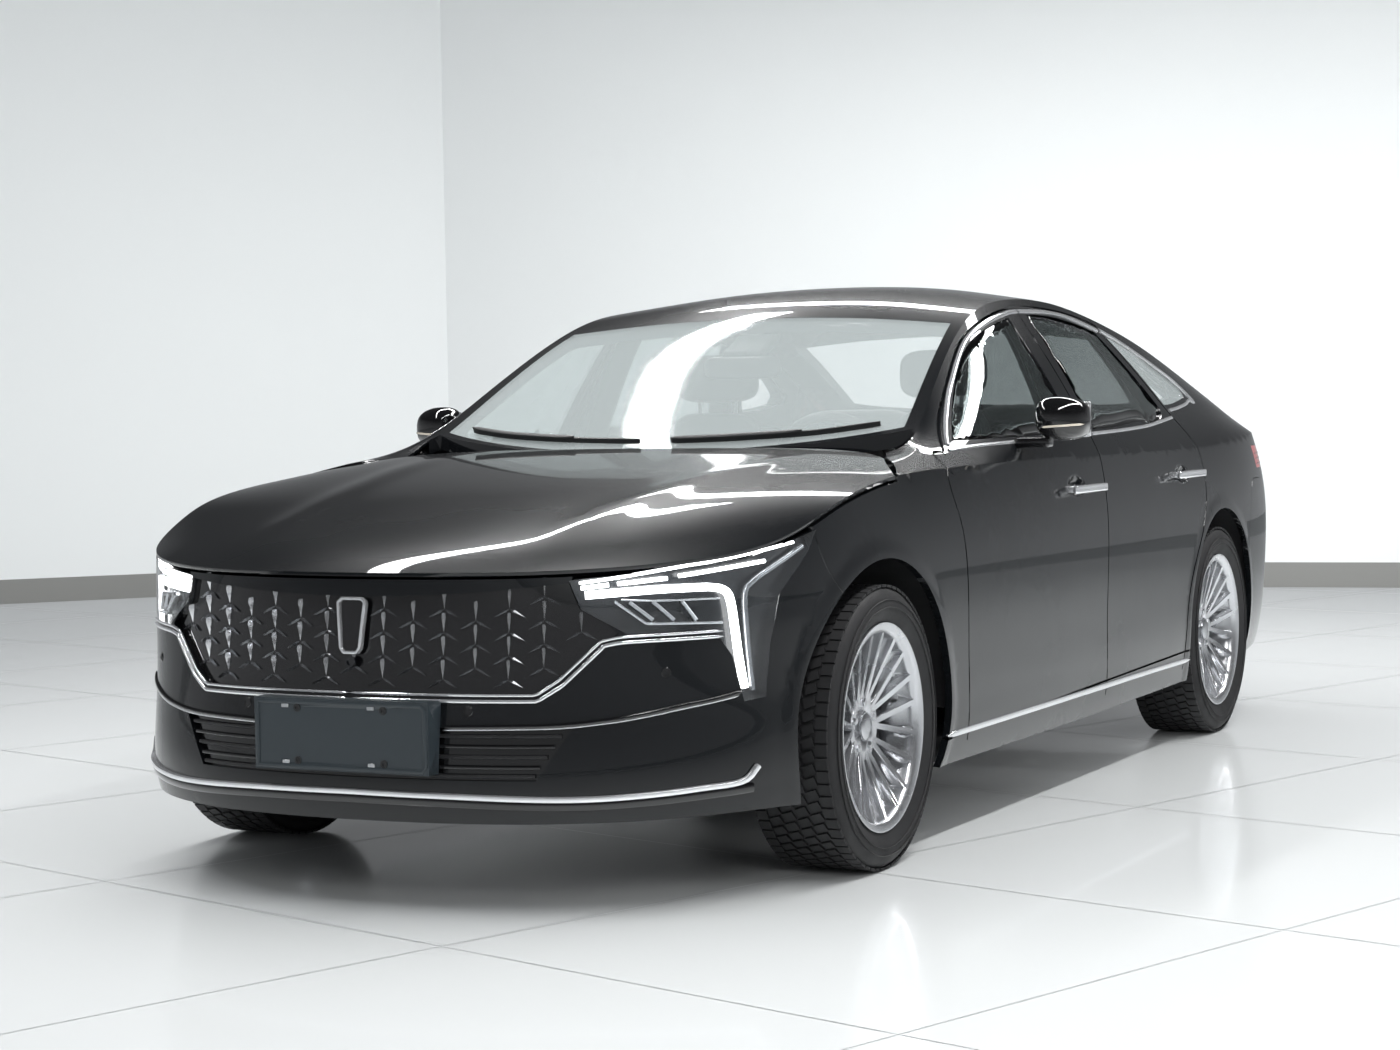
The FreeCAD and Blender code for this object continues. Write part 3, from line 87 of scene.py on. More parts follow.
# From station 8 on: the window line and the edge of the roof
BELT = [
    (775, -1185, 940), (797, -1010, 950), (830, -620, 966), (840, -250, 974), (845, 50, 979),
    (832, 550, 986), (812, 1000, 1000), (795, 1300, 1010), (783, 1650, 1008), (768, 1950, 992),
    (748, 2070, 985), (722, 2165, 981), (562, 2300, 987), (276, 2362, 993), (0, 2362, 993),
]
RAIL = [
    (700, -1010, 951), (735, -890, 970), (668, -580, 1146), (617, -240, 1308), (600, 40, 1366),
    (580, 550, 1378), (604, 1010, 1312), (638, 1330, 1240), (688, 1650, 1128), (732, 1950, 1024),
    (722, 2060, 1003), (700, 2150, 994), (548, 2275, 998), (270, 2336, 1003), (0, 2336, 1003),
]
# Middle line of the windshield, roof, rear window and deck, and of the hood behind its front edge (y, z)
SPINE = [
    (-1040, 922), (-985, 948), (-890, 993), (-560, 1166), (-225, 1338), (60, 1410), (550, 1439), (1000, 1392),
    (1310, 1303), (1650, 1180), (1950, 1062), (2110, 1018),
]
HOOD_SPINE = [(-2290, 765), (-2180, 800), (-1960, 848), (-1680, 896), (-1240, 945), (-990, 967)]
HOOD_POWERS = [(2, 3), (2, 3), (2, 3), (3, 4), (5, 6), (8, 8)]
SIDE_BULGE = 16.0
FIRST_ROOF_STATION = 8
NOSE_CORNER_STATION = 4
TAIL_CORNER_STATION = 18


def basis(count: int, places: Array, centred: bool = False) -> Array:
    """Weights of a smooth curve's poles at places along it.

    Args:
        count: number of poles.
        places: parameters, one whole number for each span.
        centred: whether the curve has a corner point in its middle, as a mirrored half has.

    Returns:
        One row for each place and one column for each pole.
    """
    degree = min(3, count - 1)
    inner = [1] * (count - degree - 1)
    if centred:
        half = [1] * (count // 2 - 3)
        inner = half + [3] + half
    repeats = [degree + 1] + inner + [degree + 1]
    knots = np.repeat(np.arange(len(repeats)), repeats).astype(float)
    t = np.clip(np.asarray(places, float), 0, knots[-1] - 1e-9)[:, None]
    weights = ((knots[:-1] <= t) & (t < knots[1:])).astype(float)
    for order in range(1, degree + 1):
        left, right = knots[order:-1] - knots[:-order - 1], knots[order + 1:] - knots[1:-order]
        rise = np.where(left > 0, (t - knots[:-order - 1]) / np.where(left > 0, left, 1), 0)
        fall = np.where(right > 0, (knots[order + 1:] - t) / np.where(right > 0, right, 1), 0)
        weights = rise * weights[:, :-1] + fall * weights[:, 1:]
    return weights


def stretch(row: Array, first: float, last: float) -> Array:
    """Poles of the stretch of a row's own curve between two stations."""
    low, high = (0 if station <= 1 else min(station - 1, len(row) - 3) for station in (first, last))
    count = high - low + 3
    places = np.linspace(0, high - low, 8 * count)
    target = basis(len(row), places + low) @ row
    return np.linalg.lstsq(basis(count, places), target, rcond=None)[0]


@dataclass
class Sheet:
    """One smooth surface of the outer skin, from rows of poles, in metres."""

    rows: Array
    centred: bool = False
    samples: int = 10

    def __post_init__(self) -> None:
        """Lay a grid of seeds over the surface for the searches."""
        self.spans = []
        for count, centred in ((self.rows.shape[0], False), (self.rows.shape[1], self.centred)):
            degree = min(3, count - 1)
            self.spans.append(2 * (count // 2 - 3) + 2 if centred else count - degree)
        grids = [np.linspace(0, span, self.samples * span + 1) for span in self.spans]
        u, v = np.meshgrid(*grids, indexing="ij")
        self.seeds = np.c_[u.ravel(), v.ravel()]
        self.seed_points = self.at(self.seeds)
        self.trees = {}

    def at(self, uv: Array) -> Array:
        """Points of the surface at pairs of parameters."""
        across = basis(self.rows.shape[0], uv[:, 0])
        along = basis(self.rows.shape[1], uv[:, 1], self.centred)
        mixed = (across @ self.rows.reshape(len(self.rows), -1)).reshape(len(uv), -1, 3)
        return (along[:, :, None] * mixed).sum(1)

    def slopes(self, uv: Array, shape: Callable[[Array], Array] | None = None) -> tuple:
        """Directions of the surface, or of a shape laid over it, along its two parameters."""
        made = shape or self.at
        step = 1e-3
        result = []
        for axis in (0, 1):
            low, high = uv.copy(), uv.copy()
            low[:, axis] = np.clip(uv[:, axis] - step, 0, self.spans[axis])
            high[:, axis] = np.clip(uv[:, axis] + step, 0, self.spans[axis])
            result.append((made(high) - made(low)) / (high[:, axis] - low[:, axis])[:, None])
        return tuple(result)

    def tree(self, axes: tuple) -> KDTree:
        """A search tree of the seeds by some of their coordinates, built once."""
        if axes not in self.trees:
            flat = np.zeros((len(self.seeds), 3))
            flat[:, :len(axes)] = self.seed_points[:, list(axes)]
            if len(axes) == 2 and 1 not in axes:
                flat[:, 2] = self.seed_points[:, 1] > 0
            tree = KDTree(len(flat))
            for index, seed in enumerate(flat):
                tree.insert(seed, index)
            tree.balance()
            self.trees[axes] = tree
        return self.trees[axes]

    def search(self, points: Array, axes: Sequence[int] = (0, 1, 2), rounds: int = 4) -> Array:
        """Parameters of the places whose given coordinates come nearest to those of the points."""
        chosen = list(axes)
        tree = self.tree(tuple(axes))
        wanted = np.zeros((len(points), 3))
        wanted[:, :len(chosen)] = points[:, chosen]
        if len(chosen) == 2 and 1 not in chosen:
            wanted[:, 2] = points[:, 1] > 0
        uv = self.seeds[[tree.find(point)[1] for point in wanted]].copy()
        step = 1e-3
        for _ in range(rounds):
            base = self.at(uv)
            slopes = []
            for axis in (0, 1):
                moved = uv.copy()
                shift = np.where(uv[:, axis] + step > self.spans[axis], -step, step)
                moved[:, axis] += shift
                slopes.append(((self.at(moved) - base) / shift[:, None])[:, chosen])
            gap = (points - base)[:, chosen]
            du, dv = slopes
            a, b, c = (du * du).sum(1) + 1e-12, (du * dv).sum(1), (dv * dv).sum(1) + 1e-12
            p, q = (du * gap).sum(1), (dv * gap).sum(1)
            det = np.maximum(a * c - b * b, 1e-14)
            move = np.c_[(c * p - b * q) / det, (a * q - b * p) / det]
            uv = np.clip(uv + np.clip(move, -0.5, 0.5), 0, self.spans)
        return uv

    def normals(self, uv: Array, shape: Callable[[Array], Array] | None = None) -> Array:
        """Unit normals of the surface, or of a shape laid over it, of either sign."""
        du, dv = self.slopes(uv, shape)
        normal = np.cross(du, dv)
        return normal / np.maximum(np.linalg.norm(normal, axis=1), 1e-12)[:, None]


class BodyLines:
    """The four smooth surfaces of the outer skin: lower side, upper side, roof and hood."""

    def __init__(self) -> None:
        """Work the surfaces out from the drawn lines."""
        crease, rail = np.array(CREASE, float), self.with_start(RAIL)
        belt = self.with_start(BELT)
        edge = stretch(crease, FIRST_ROOF_STATION, len(crease) - 1)
        rows = [edge, belt]
        for share in (0.36, 0.72):
            line = belt + share * (rail - belt)
            bulge = SIDE_BULGE * 4 * share * (1 - share) * np.minimum(1.0, (rail[:, 2] - belt[:, 2]) / 300)
            line[:, 0] += np.maximum(bulge, 0)
            rows.append(line)
        upper = np.array(rows + [rail])
        corner = TAIL_CORNER_STATION - FIRST_ROOF_STATION + 1
        tail = stretch(rail, corner, len(rail) - 1)
        top = self.crowned(stretch(rail, 0, corner)[:-1], SPINE, tail[::-1], [(2, 2)] * len(SPINE)) + [tail]
        front = stretch(crease, 0, NOSE_CORNER_STATION)
        shoulder = stretch(crease, NOSE_CORNER_STATION, FIRST_ROOF_STATION)
        hood = [front[::-1]] + self.crowned(shoulder[1:], HOOD_SPINE, front, HOOD_POWERS)
        self.lower = Sheet(self.lower_rows() * MM)
        self.upper = Sheet(upper * MM)
        self.top = Sheet(self.full_width(top) * MM, True)
        self.hood = Sheet(self.full_width(hood) * MM, True)

    @staticmethod
    def with_start(points: Sequence[tuple]) -> Array:
        """Points with one more near the start, as the stretch of a smooth curve has."""
        line = np.array(points, float)
        return np.vstack([line[:1], line[:1] + (line[1:2] - line[:1]) / 3, line[1:]])

    @staticmethod
    def lower_rows() -> Array:
        """Rows of the body side from the lower edge to the shoulder crease."""
        waist = np.array(WAIST, float)
        before, after = np.vstack([waist[:1], waist[:-1]]), np.vstack([waist[1:], waist[-1:]])
        run = after - before
        run[0], run[-1] = (1, 0), (-1, 0)
        normals = np.c_[run[:, 1], -run[:, 0]] / np.linalg.norm(run, axis=1)[:, None]
        stations = [station for station, _ in PROFILES]
        rows = []
        for level in range(len(PROFILES[0][1])):
            out, height = (np.interp(range(len(waist)), stations, [profile[level][k] for _, profile in PROFILES])
                           for k in (0, 1))
            rows.append(np.c_[waist + normals * out[:, None], height])
        return np.array(rows + [np.array(CREASE, float)])

    @staticmethod
    def crowned(edge: Array, spine: Sequence, far_edge: Array, powers: Sequence) -> list:
        """Half rows across the car from an edge line over a middle line."""
        rows = []
        share = far_edge[:0:-1, 0] / far_edge[-1, 0]
        for place, (sy, sz), (run_power, rise_power) in zip(edge, spine, powers):
            half = np.c_[share * place[0], place[1] + (sy - place[1]) * (1 - share ** run_power),
                         place[2] + (sz - place[2]) * (1 - share ** rise_power)]
            half[-1, 1:] = (sy, sz)
            rows.append(np.vstack([half, [(0, sy, sz)]]))
        return rows

    @staticmethod
    def full_width(rows: Sequence[Array]) -> Array:
        """Rows completed with their mirror image, from the left edge to the right."""
        return np.array([np.vstack([half, half[-2::-1] * (-1, 1, 1)]) for half in rows])


LINES = BodyLines()


class Pattern(Enum):
    """Small-scale structure of a finish."""

    FLAKE = "flake"
    GRAIN = "grain"
    LEATHER = "leather"
    WEAVE = "weave"
    BRUSHED = "brushed"


def add_node(tree: NodeTree, kind: str, **values: object) -> Node:
    """A new node of a kind, with some of its inputs set; a name's underscores stand for spaces."""
    node = tree.nodes.new(kind)
    for key, value in values.items():
        node.inputs[key.replace("_", " ")].default_value = value
    return node


def drift(tree: NodeTree, shader: Node, low: tuple, high: tuple, source: bpy.types.NodeSocket) -> None:
    """Let a shader's colour run between two colours by the values of a source."""
    mix = tree.nodes.new("ShaderNodeMix")
    mix.data_type = "RGBA"
    mix.inputs["A"].default_value = (*low, 1.0)
    mix.inputs["B"].default_value = (*high, 1.0)
    tree.links.new(source, mix.inputs["Factor"])
    tree.links.new(mix.outputs["Result"], shader.inputs["Base Color"])


class Groups:
    """Shader node groups that more than one finish uses, each built once."""

    @staticmethod
    def start(name: str, detail: float) -> tuple:
        """A new group whose slow patches of dust and handling are already there.

        Args:
            name: what the group is called.
            detail: how fine the patches break up.

        Returns:
            The tree, its input node and its output node.
        """
        tree = bpy.data.node_groups.new(name, "ShaderNodeTree")
        for key, kind, end in (("Place", "Vector", "INPUT"), ("Scale", "Float", "INPUT"),
                               ("Patch", "Float", "INPUT"), ("Height", "Float", "OUTPUT"),
                               ("Patches", "Float", "OUTPUT")):
            tree.interface.new_socket(key, in_out=end, socket_type=f"NodeSocket{kind}")
        given, out = tree.nodes.new("NodeGroupInput"), tree.nodes.new("NodeGroupOutput")
        slow = add_node(tree, "ShaderNodeTexNoise", Detail=detail)
        Groups.feed(tree, given, slow, "Patch")
        tree.links.new(slow.outputs["Fac"], out.inputs["Patches"])
        return tree, given, out

    @staticmethod
    def feed(tree: NodeTree, given: Node, texture: Node, key: str) -> None:
        """Give a texture its place and its scale."""
        tree.links.new(given.outputs["Place"], texture.inputs["Vector"])
        tree.links.new(given.outputs[key], texture.inputs["Scale"])

    @staticmethod
    def grain() -> NodeTree:
        """Fine moulded grain."""
        tree, given, out = Groups.start("grain", 5.0)
        fine = add_node(tree, "ShaderNodeTexNoise", Detail=3.0)
        Groups.feed(tree, given, fine, "Scale")
        tree.links.new(fine.outputs["Fac"], out.inputs["Height"])
        return tree

    @staticmethod
    def leather() -> NodeTree:
        """Pebbled leather: small rounded cells with creases between them."""
        tree, given, out = Groups.start("leather", 2.0)
        cells = tree.nodes.new("ShaderNodeTexVoronoi")
        cells.feature = "SMOOTH_F1"
        Groups.feed(tree, given, cells, "Scale")
        upside = tree.nodes.new("ShaderNodeMath")
        upside.operation = "SUBTRACT"
        upside.inputs[0].default_value = 1.0
        tree.links.new(cells.outputs["Distance"], upside.inputs[1])
        tree.links.new(upside.outputs[0], out.inputs["Height"])
        return tree

    @staticmethod
    def weave() -> NodeTree:
        """Woven cloth: two crossed sets of threads."""
        tree, given, out = Groups.start("weave", 2.0)
        height = tree.nodes.new("ShaderNodeMath")
        height.operation = "MAXIMUM"
        for number, direction in enumerate(("X", "Y")):
            thread = tree.nodes.new("ShaderNodeTexWave")
            thread.bands_direction = direction
            Groups.feed(tree, given, thread, "Scale")
            tree.links.new(thread.outputs["Fac"], height.inputs[number])
        tree.links.new(height.outputs[0], out.inputs["Height"])
        return tree


@dataclass(frozen=True)
class Finish:
    """One surface finish of the car."""

    name: str
    color: tuple
    roughness: float
    metallic: float = 0.0
    coat: float = 0.0
    pattern: Pattern = Pattern.GRAIN
    scale: float = 900.0
    depth: float = 0.0
    patch: float = 3.0
    spread: float = 0.08
    tint: float = 0.15
    see_through: float = 0.0
    glow: float = 0.0
    shine: float = 0.5

    def material(self) -> Material:
        """The finish's material, built the first time that it is asked for."""
        found = bpy.data.materials.get(self.name)
        if found:
            return found
        material = bpy.data.materials.new(self.name)
        material.use_nodes = True
        tree = material.node_tree
        shader = tree.nodes["Principled BSDF"]
        for key, value in (("Metallic", self.metallic), ("Coat Weight", self.coat), ("Coat Roughness", 0.025),
                           ("Specular IOR Level", self.shine), ("IOR", 1.5)):
            shader.inputs[key].default_value = value
        place = tree.nodes.new("ShaderNodeTexCoord").outputs["Object"]
        if self.see_through:
            self.as_glass(tree, shader)
            return material
        group = tree.nodes.new("ShaderNodeGroup")
        kind = self.pattern.value if self.pattern in (Pattern.LEATHER, Pattern.WEAVE) else "grain"
        group.node_tree = bpy.data.node_groups.get(kind) or getattr(Groups, kind)()
        group.inputs["Scale"].default_value = self.scale
        group.inputs["Patch"].default_value = self.patch
        if self.pattern is Pattern.BRUSHED:
            mapping = add_node(tree, "ShaderNodeMapping", Scale=(1.0, 0.02, 1.0))
            tree.links.new(place, mapping.inputs["Vector"])
            place = mapping.outputs["Vector"]
        tree.links.new(place, group.inputs["Place"])
        self.vary_color(tree, shader, group)
        self.vary_roughness(tree, shader, group)
        if self.depth:
            bump = add_node(tree, "ShaderNodeBump", Strength=1.0, Distance=self.depth)
            tree.links.new(group.outputs["Height"], bump.inputs["Height"])
            tree.links.new(bump.outputs["Normal"], shader.inputs["Normal"])
        if self.glow:
            shader.inputs["Emission Color"].default_value = (*self.color, 1.0)
            shader.inputs["Emission Strength"].default_value = self.glow
        return material

    def vary_color(self, tree: NodeTree, shader: Node, group: Node) -> None:
        """Let the colour drift a little over the surface."""
        low, high = (tuple(min(1.0, channel * share) for channel in self.color)
                     for share in (1 - self.tint, 1 + self.tint))
        source = "Height" if self.pattern in (Pattern.FLAKE, Pattern.WEAVE) else "Patches"
        drift(tree, shader, low, high, group.outputs[source])

    def vary_roughness(self, tree: NodeTree, shader: Node, group: Node) -> None:
        """Let the gloss drift a little over the surface."""
        spread = add_node(tree, "ShaderNodeMapRange", From_Min=0.3, From_Max=0.7,
                          To_Min=max(0.0, self.roughness - self.spread * self.roughness),
                          To_Max=min(1.0, self.roughness + self.spread * self.roughness))
        tree.links.new(group.outputs["Patches"], spread.inputs["Value"])
        tree.links.new(spread.outputs["Result"], shader.inputs["Roughness"])

    def as_glass(self, tree: NodeTree, shader: Node) -> None:
        """Clear or tinted glass that lets the lamps' light through."""
        shader.inputs["Base Color"].default_value = (*self.color, 1.0)
        shader.inputs["Roughness"].default_value = self.roughness
        shader.inputs["Transmission Weight"].default_value = self.see_through
        through = add_node(tree, "ShaderNodeBsdfTransparent", Color=(*self.color, 1.0))
        path, mix = tree.nodes.new("ShaderNodeLightPath"), tree.nodes.new("ShaderNodeMixShader")
        tree.links.new(path.outputs["Is Shadow Ray"], mix.inputs[0])
        tree.links.new(shader.outputs["BSDF"], mix.inputs[1])
        tree.links.new(through.outputs["BSDF"], mix.inputs[2])
        tree.links.new(mix.outputs["Shader"], tree.nodes["Material Output"].inputs["Surface"])


PAINT = Finish("black_paint", (0.0045, 0.0052, 0.0062), 0.32, coat=0.85, pattern=Pattern.FLAKE, scale=5200.0,
               patch=2.0, spread=0.12, tint=0.5, shine=0.05)
GLOSS = Finish("gloss_black_trim", (0.004, 0.004, 0.0045), 0.09, coat=0.6, patch=6.0)
TRIM = Finish("moulded_black_trim", (0.012, 0.012, 0.013), 0.52, depth=0.00012, scale=1500.0)
DARK_HOUSING = Finish("lamp_housing", (0.012, 0.013, 0.015), 0.22, coat=0.4)
CHROME = Finish("bright_chrome", (0.82, 0.83, 0.85), 0.14, 0.8, tint=0.03, spread=0.3)
DARK_CHROME = Finish("smoked_chrome", (0.36, 0.37, 0.39), 0.16, 0.85, tint=0.05, spread=0.3)
SATIN_METAL = Finish("satin_metal", (0.55, 0.56, 0.58), 0.3, 1.0, pattern=Pattern.BRUSHED, spread=0.2)
ALLOY = Finish("silver_wheel_paint", (0.5, 0.51, 0.53), 0.27, 0.85, 0.7, Pattern.FLAKE, 3500.0, tint=0.08)
RUBBER = Finish("tyre_rubber", (0.011, 0.011, 0.012), 0.72, depth=0.0002, scale=1300.0, patch=9.0, spread=0.15)
DISC = Finish("turned_steel", (0.36, 0.36, 0.37), 0.3, 1.0, pattern=Pattern.BRUSHED, scale=2200.0, spread=0.25)
CAST = Finish("cast_iron", (0.055, 0.056, 0.058), 0.62, 0.4, depth=0.0006, scale=420.0, tint=0.3)
STEEL = Finish("coated_steel", (0.02, 0.021, 0.023), 0.42, 0.1, 0.2, depth=0.0002, scale=240.0, tint=0.25)
LEATHER = Finish("seat_leather", (0.022, 0.021, 0.021), 0.46, pattern=Pattern.LEATHER, depth=0.0003, tint=0.22)
LEATHER_LIGHT = Finish("seat_centre_leather", (0.03, 0.029, 0.028), 0.5, pattern=Pattern.LEATHER, depth=0.0003,
                       scale=520.0, tint=0.22)
DASH = Finish("soft_dash", (0.016, 0.016, 0.017), 0.58, pattern=Pattern.LEATHER, depth=0.0002, scale=700.0)
LINING = Finish("roof_cloth", (0.16, 0.155, 0.15), 0.9, pattern=Pattern.WEAVE, depth=0.0003, scale=500.0,
                tint=0.1)
SCREEN = Finish("screen_glass", (0.003, 0.0035, 0.005), 0.05, coat=1.0, patch=4.0)
CLEAR = Finish("clear_glass", (0.52, 0.57, 0.56), 0.0, see_through=1.0)
TINTED = Finish("tinted_glass", (0.34, 0.38, 0.38), 0.0, see_through=1.0)
LENS = Finish("lamp_cover", (0.93, 0.95, 0.96), 0.0, see_through=1.0)
RED_LENS = Finish("red_lens", (0.42, 0.008, 0.008), 0.1, coat=1.0, tint=0.2, glow=0.35)
RED_DARK = Finish("red_lens_inner", (0.12, 0.004, 0.004), 0.15, coat=1.0, tint=0.2)
LIT = Finish("white_light_bar", (1.0, 1.0, 1.0), 0.3, glow=6.0, tint=0.01)
AMBER = Finish("indicator_lens", (0.55, 0.5, 0.42), 0.15, coat=1.0)
PLATE = Finish("plate_holder", (0.024, 0.032, 0.038), 0.42, depth=0.0001, scale=1200.0)


def in_scene(name: str, data: bpy.types.ID) -> Object:
    """A new object in the scene."""
    thing = bpy.data.objects.new(name, data)
    bpy.context.scene.collection.objects.link(thing)
    return thing


def new_piece(name: str, mesh: Mesh, finishes: Sequence[Finish], body: str, *nodes: str) -> Object:
    """A finished piece in the scene that moves with a body.

    Args:
        name: the piece's name.
        mesh: its shape, in place.
        finishes: its finishes, in the order of the mesh's material numbers.
        body: the body that it rides on.
        nodes: CAD nodes that it stands for.

    Returns:
        The piece.
    """
    piece = in_scene(name, mesh)
    mesh.materials.clear()
    for finish in finishes:
        mesh.materials.append(finish.material())
    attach(piece, body)
    if nodes:
        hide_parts(*nodes)
    LOG.info("%s: %d faces on %s", name, len(mesh.polygons), body)
    return piece


def body_of(node: str) -> str:
    """The body that holds a CAD node."""
    return next(body for body, nodes in frame["record"]["behaviour"]["bodies"].items() if node in nodes)


def mesh_from(name: str, points: Array, faces: Iterable[Sequence[int]], smooth: float | None = 35.0) -> Mesh:
    """A mesh from points and faces.

    Args:
        name: the mesh's name.
        points: places of its corners.
        faces: corner numbers of each face.
        smooth: largest angle between faces that shade as one, in degrees, or None for flat faces.

    Returns:
        The mesh, its normals turned outwards.
    """
    mesh = bpy.data.meshes.new(name)
    mesh.from_pydata([tuple(point) for point in points], [], [tuple(int(i) for i in face) for face in faces])
    shape = bmesh.new()
    shape.from_mesh(mesh)
    bmesh.ops.remove_doubles(shape, verts=shape.verts, dist=1e-6)
    bmesh.ops.recalc_face_normals(shape, faces=shape.faces)
    shape.to_mesh(mesh)
    shape.free()
    shade(mesh, smooth)
    return mesh


def ring_faces(rings: int, sides: int, closed: bool = False) -> list:
    """Faces between rings of corners that form a loop, or a tube with both ends capped."""
    faces = [(k * sides + i, k * sides + (i + 1) % sides, (k + 1) % rings * sides + (i + 1) % sides,
              (k + 1) % rings * sides + i) for k in range(rings if closed else rings - 1) for i in range(sides)]
    return faces if closed else faces + [tuple(range(sides)), tuple(range((rings - 1) * sides, rings * sides))]


def shade(mesh: Mesh, smooth: float | None) -> None:
    """Shade a mesh smoothly up to an angle in degrees, or flat."""
    mesh.polygons.foreach_set("use_smooth", [smooth is not None] * len(mesh.polygons))
    if smooth is not None:
        mesh.set_sharp_from_angle(angle=math.radians(smooth))
    mesh.update()


def mirrored(points: Array, side: float) -> Array:
    """Points carried to a side of the car: +1 keeps them on the left."""
    return np.asarray(points, float) * (side, 1.0, 1.0)


def ready(shape: bmesh.types.BMesh, name: str) -> Mesh:
    """The mesh of a finished shape."""
    mesh = bpy.data.meshes.new(name)
    shape.to_mesh(mesh)
    shape.free()
    return mesh


def joined(meshes: Sequence[Mesh], name: str) -> Mesh:
    """One mesh from several, whose finishes are already set in the same order."""
    shape = bmesh.new()
    for mesh in meshes:
        shape.from_mesh(mesh)
    result = ready(shape, name)
    for mesh in meshes:
        bpy.data.meshes.remove(mesh)
    return result


def merged_copy(node: str, name: str) -> Mesh:
    """A copy of a CAD node's mesh with its loose triangles joined."""
    mesh = frame["nodes"][node].data.copy()
    mesh.name = name
    shape = bmesh.new()
    shape.from_mesh(mesh)
    bmesh.ops.remove_doubles(shape, verts=shape.verts, dist=2e-5)
    bmesh.ops.dissolve_degenerate(shape, edges=shape.edges, dist=1e-6)
    shape.to_mesh(mesh)
    shape.free()
    return mesh


def dress(node: str, finish: Finish, smooth: float | None = 35.0) -> Object:
    """Show a CAD node's own shape, smoothly shaded, with a finish."""
    mesh = merged_copy(node, f"{node}_dressed")
    mesh.polygons.foreach_set("material_index", np.zeros(len(mesh.polygons), np.int32))
    shade(mesh, smooth)
    return new_piece(f"{node}_dressed", mesh, [finish], body_of(node), node)


class Relief:
    """Low forms pressed into or raised from the outer skin, as heights over it."""

    ARCH_CENTRES = ((-1.505, 0.335), (1.295, 0.335))
    ARCH_EDGE = 0.384
    ARCH_BAND = 0.05
    ARCH_RISE = 0.004
    HANDLES = ((-0.105, 0.838), (0.915, 0.840))
    HANDLE_REACH = (0.078, 0.030)
    HANDLE_DEPTH = 0.017
    RIDGE_FRONT, RIDGE_REAR = (0.36, -2.24), (0.56, -1.0)
    RIDGE_WIDTH = 0.055
    RIDGE_RISE = 0.004

    @classmethod
    def height(cls, points: Array) -> Array:
        """How far each point of the skin moves outwards."""
        x, y, z = np.abs(points[:, 0]), points[:, 1], points[:, 2]
        result = np.zeros(len(points))
        side = (x > 0.76) & (z < 0.9)
        for centre_y, centre_z in cls.ARCH_CENTRES:
            share = (np.hypot(y - centre_y, z - centre_z) - cls.ARCH_EDGE) / cls.ARCH_BAND
            result += np.where(side & (share < 1), cls.ARCH_RISE * (1 - np.clip(share, 0, 1) ** 2) ** 2, 0)
        for centre_y, centre_z in cls.HANDLES:
            share = np.hypot((y - centre_y) / cls.HANDLE_REACH[0], (z - centre_z) / cls.HANDLE_REACH[1])
            result -= np.where(side & (share < 1), cls.HANDLE_DEPTH * (1 - np.clip(share, 0, 1) ** 3) ** 2, 0)
        result += cls.ridge(x, y, z)
        return result

    @classmethod
    def ridge(cls, x: Array, y: Array, z: Array) -> Array:
        """The two soft ridges along the hood."""
        (front_x, front_y), (rear_x, rear_y) = cls.RIDGE_FRONT, cls.RIDGE_REAR
        run = np.clip((y - front_y) / (rear_y - front_y), 0, 1)
        line = front_x + (rear_x - front_x) * run ** 1.3
        fade = np.clip(run * 5, 0, 1) * np.clip((1 - run) * 3, 0, 1)
        outer = np.exp(-((x - line) / cls.RIDGE_WIDTH) ** 2) * cls.RIDGE_RISE
        on_hood = (z > 0.72) & (y < -0.97) & (x < 0.84)
        return np.where(on_hood, outer * fade * fade * (3 - 2 * fade), 0)


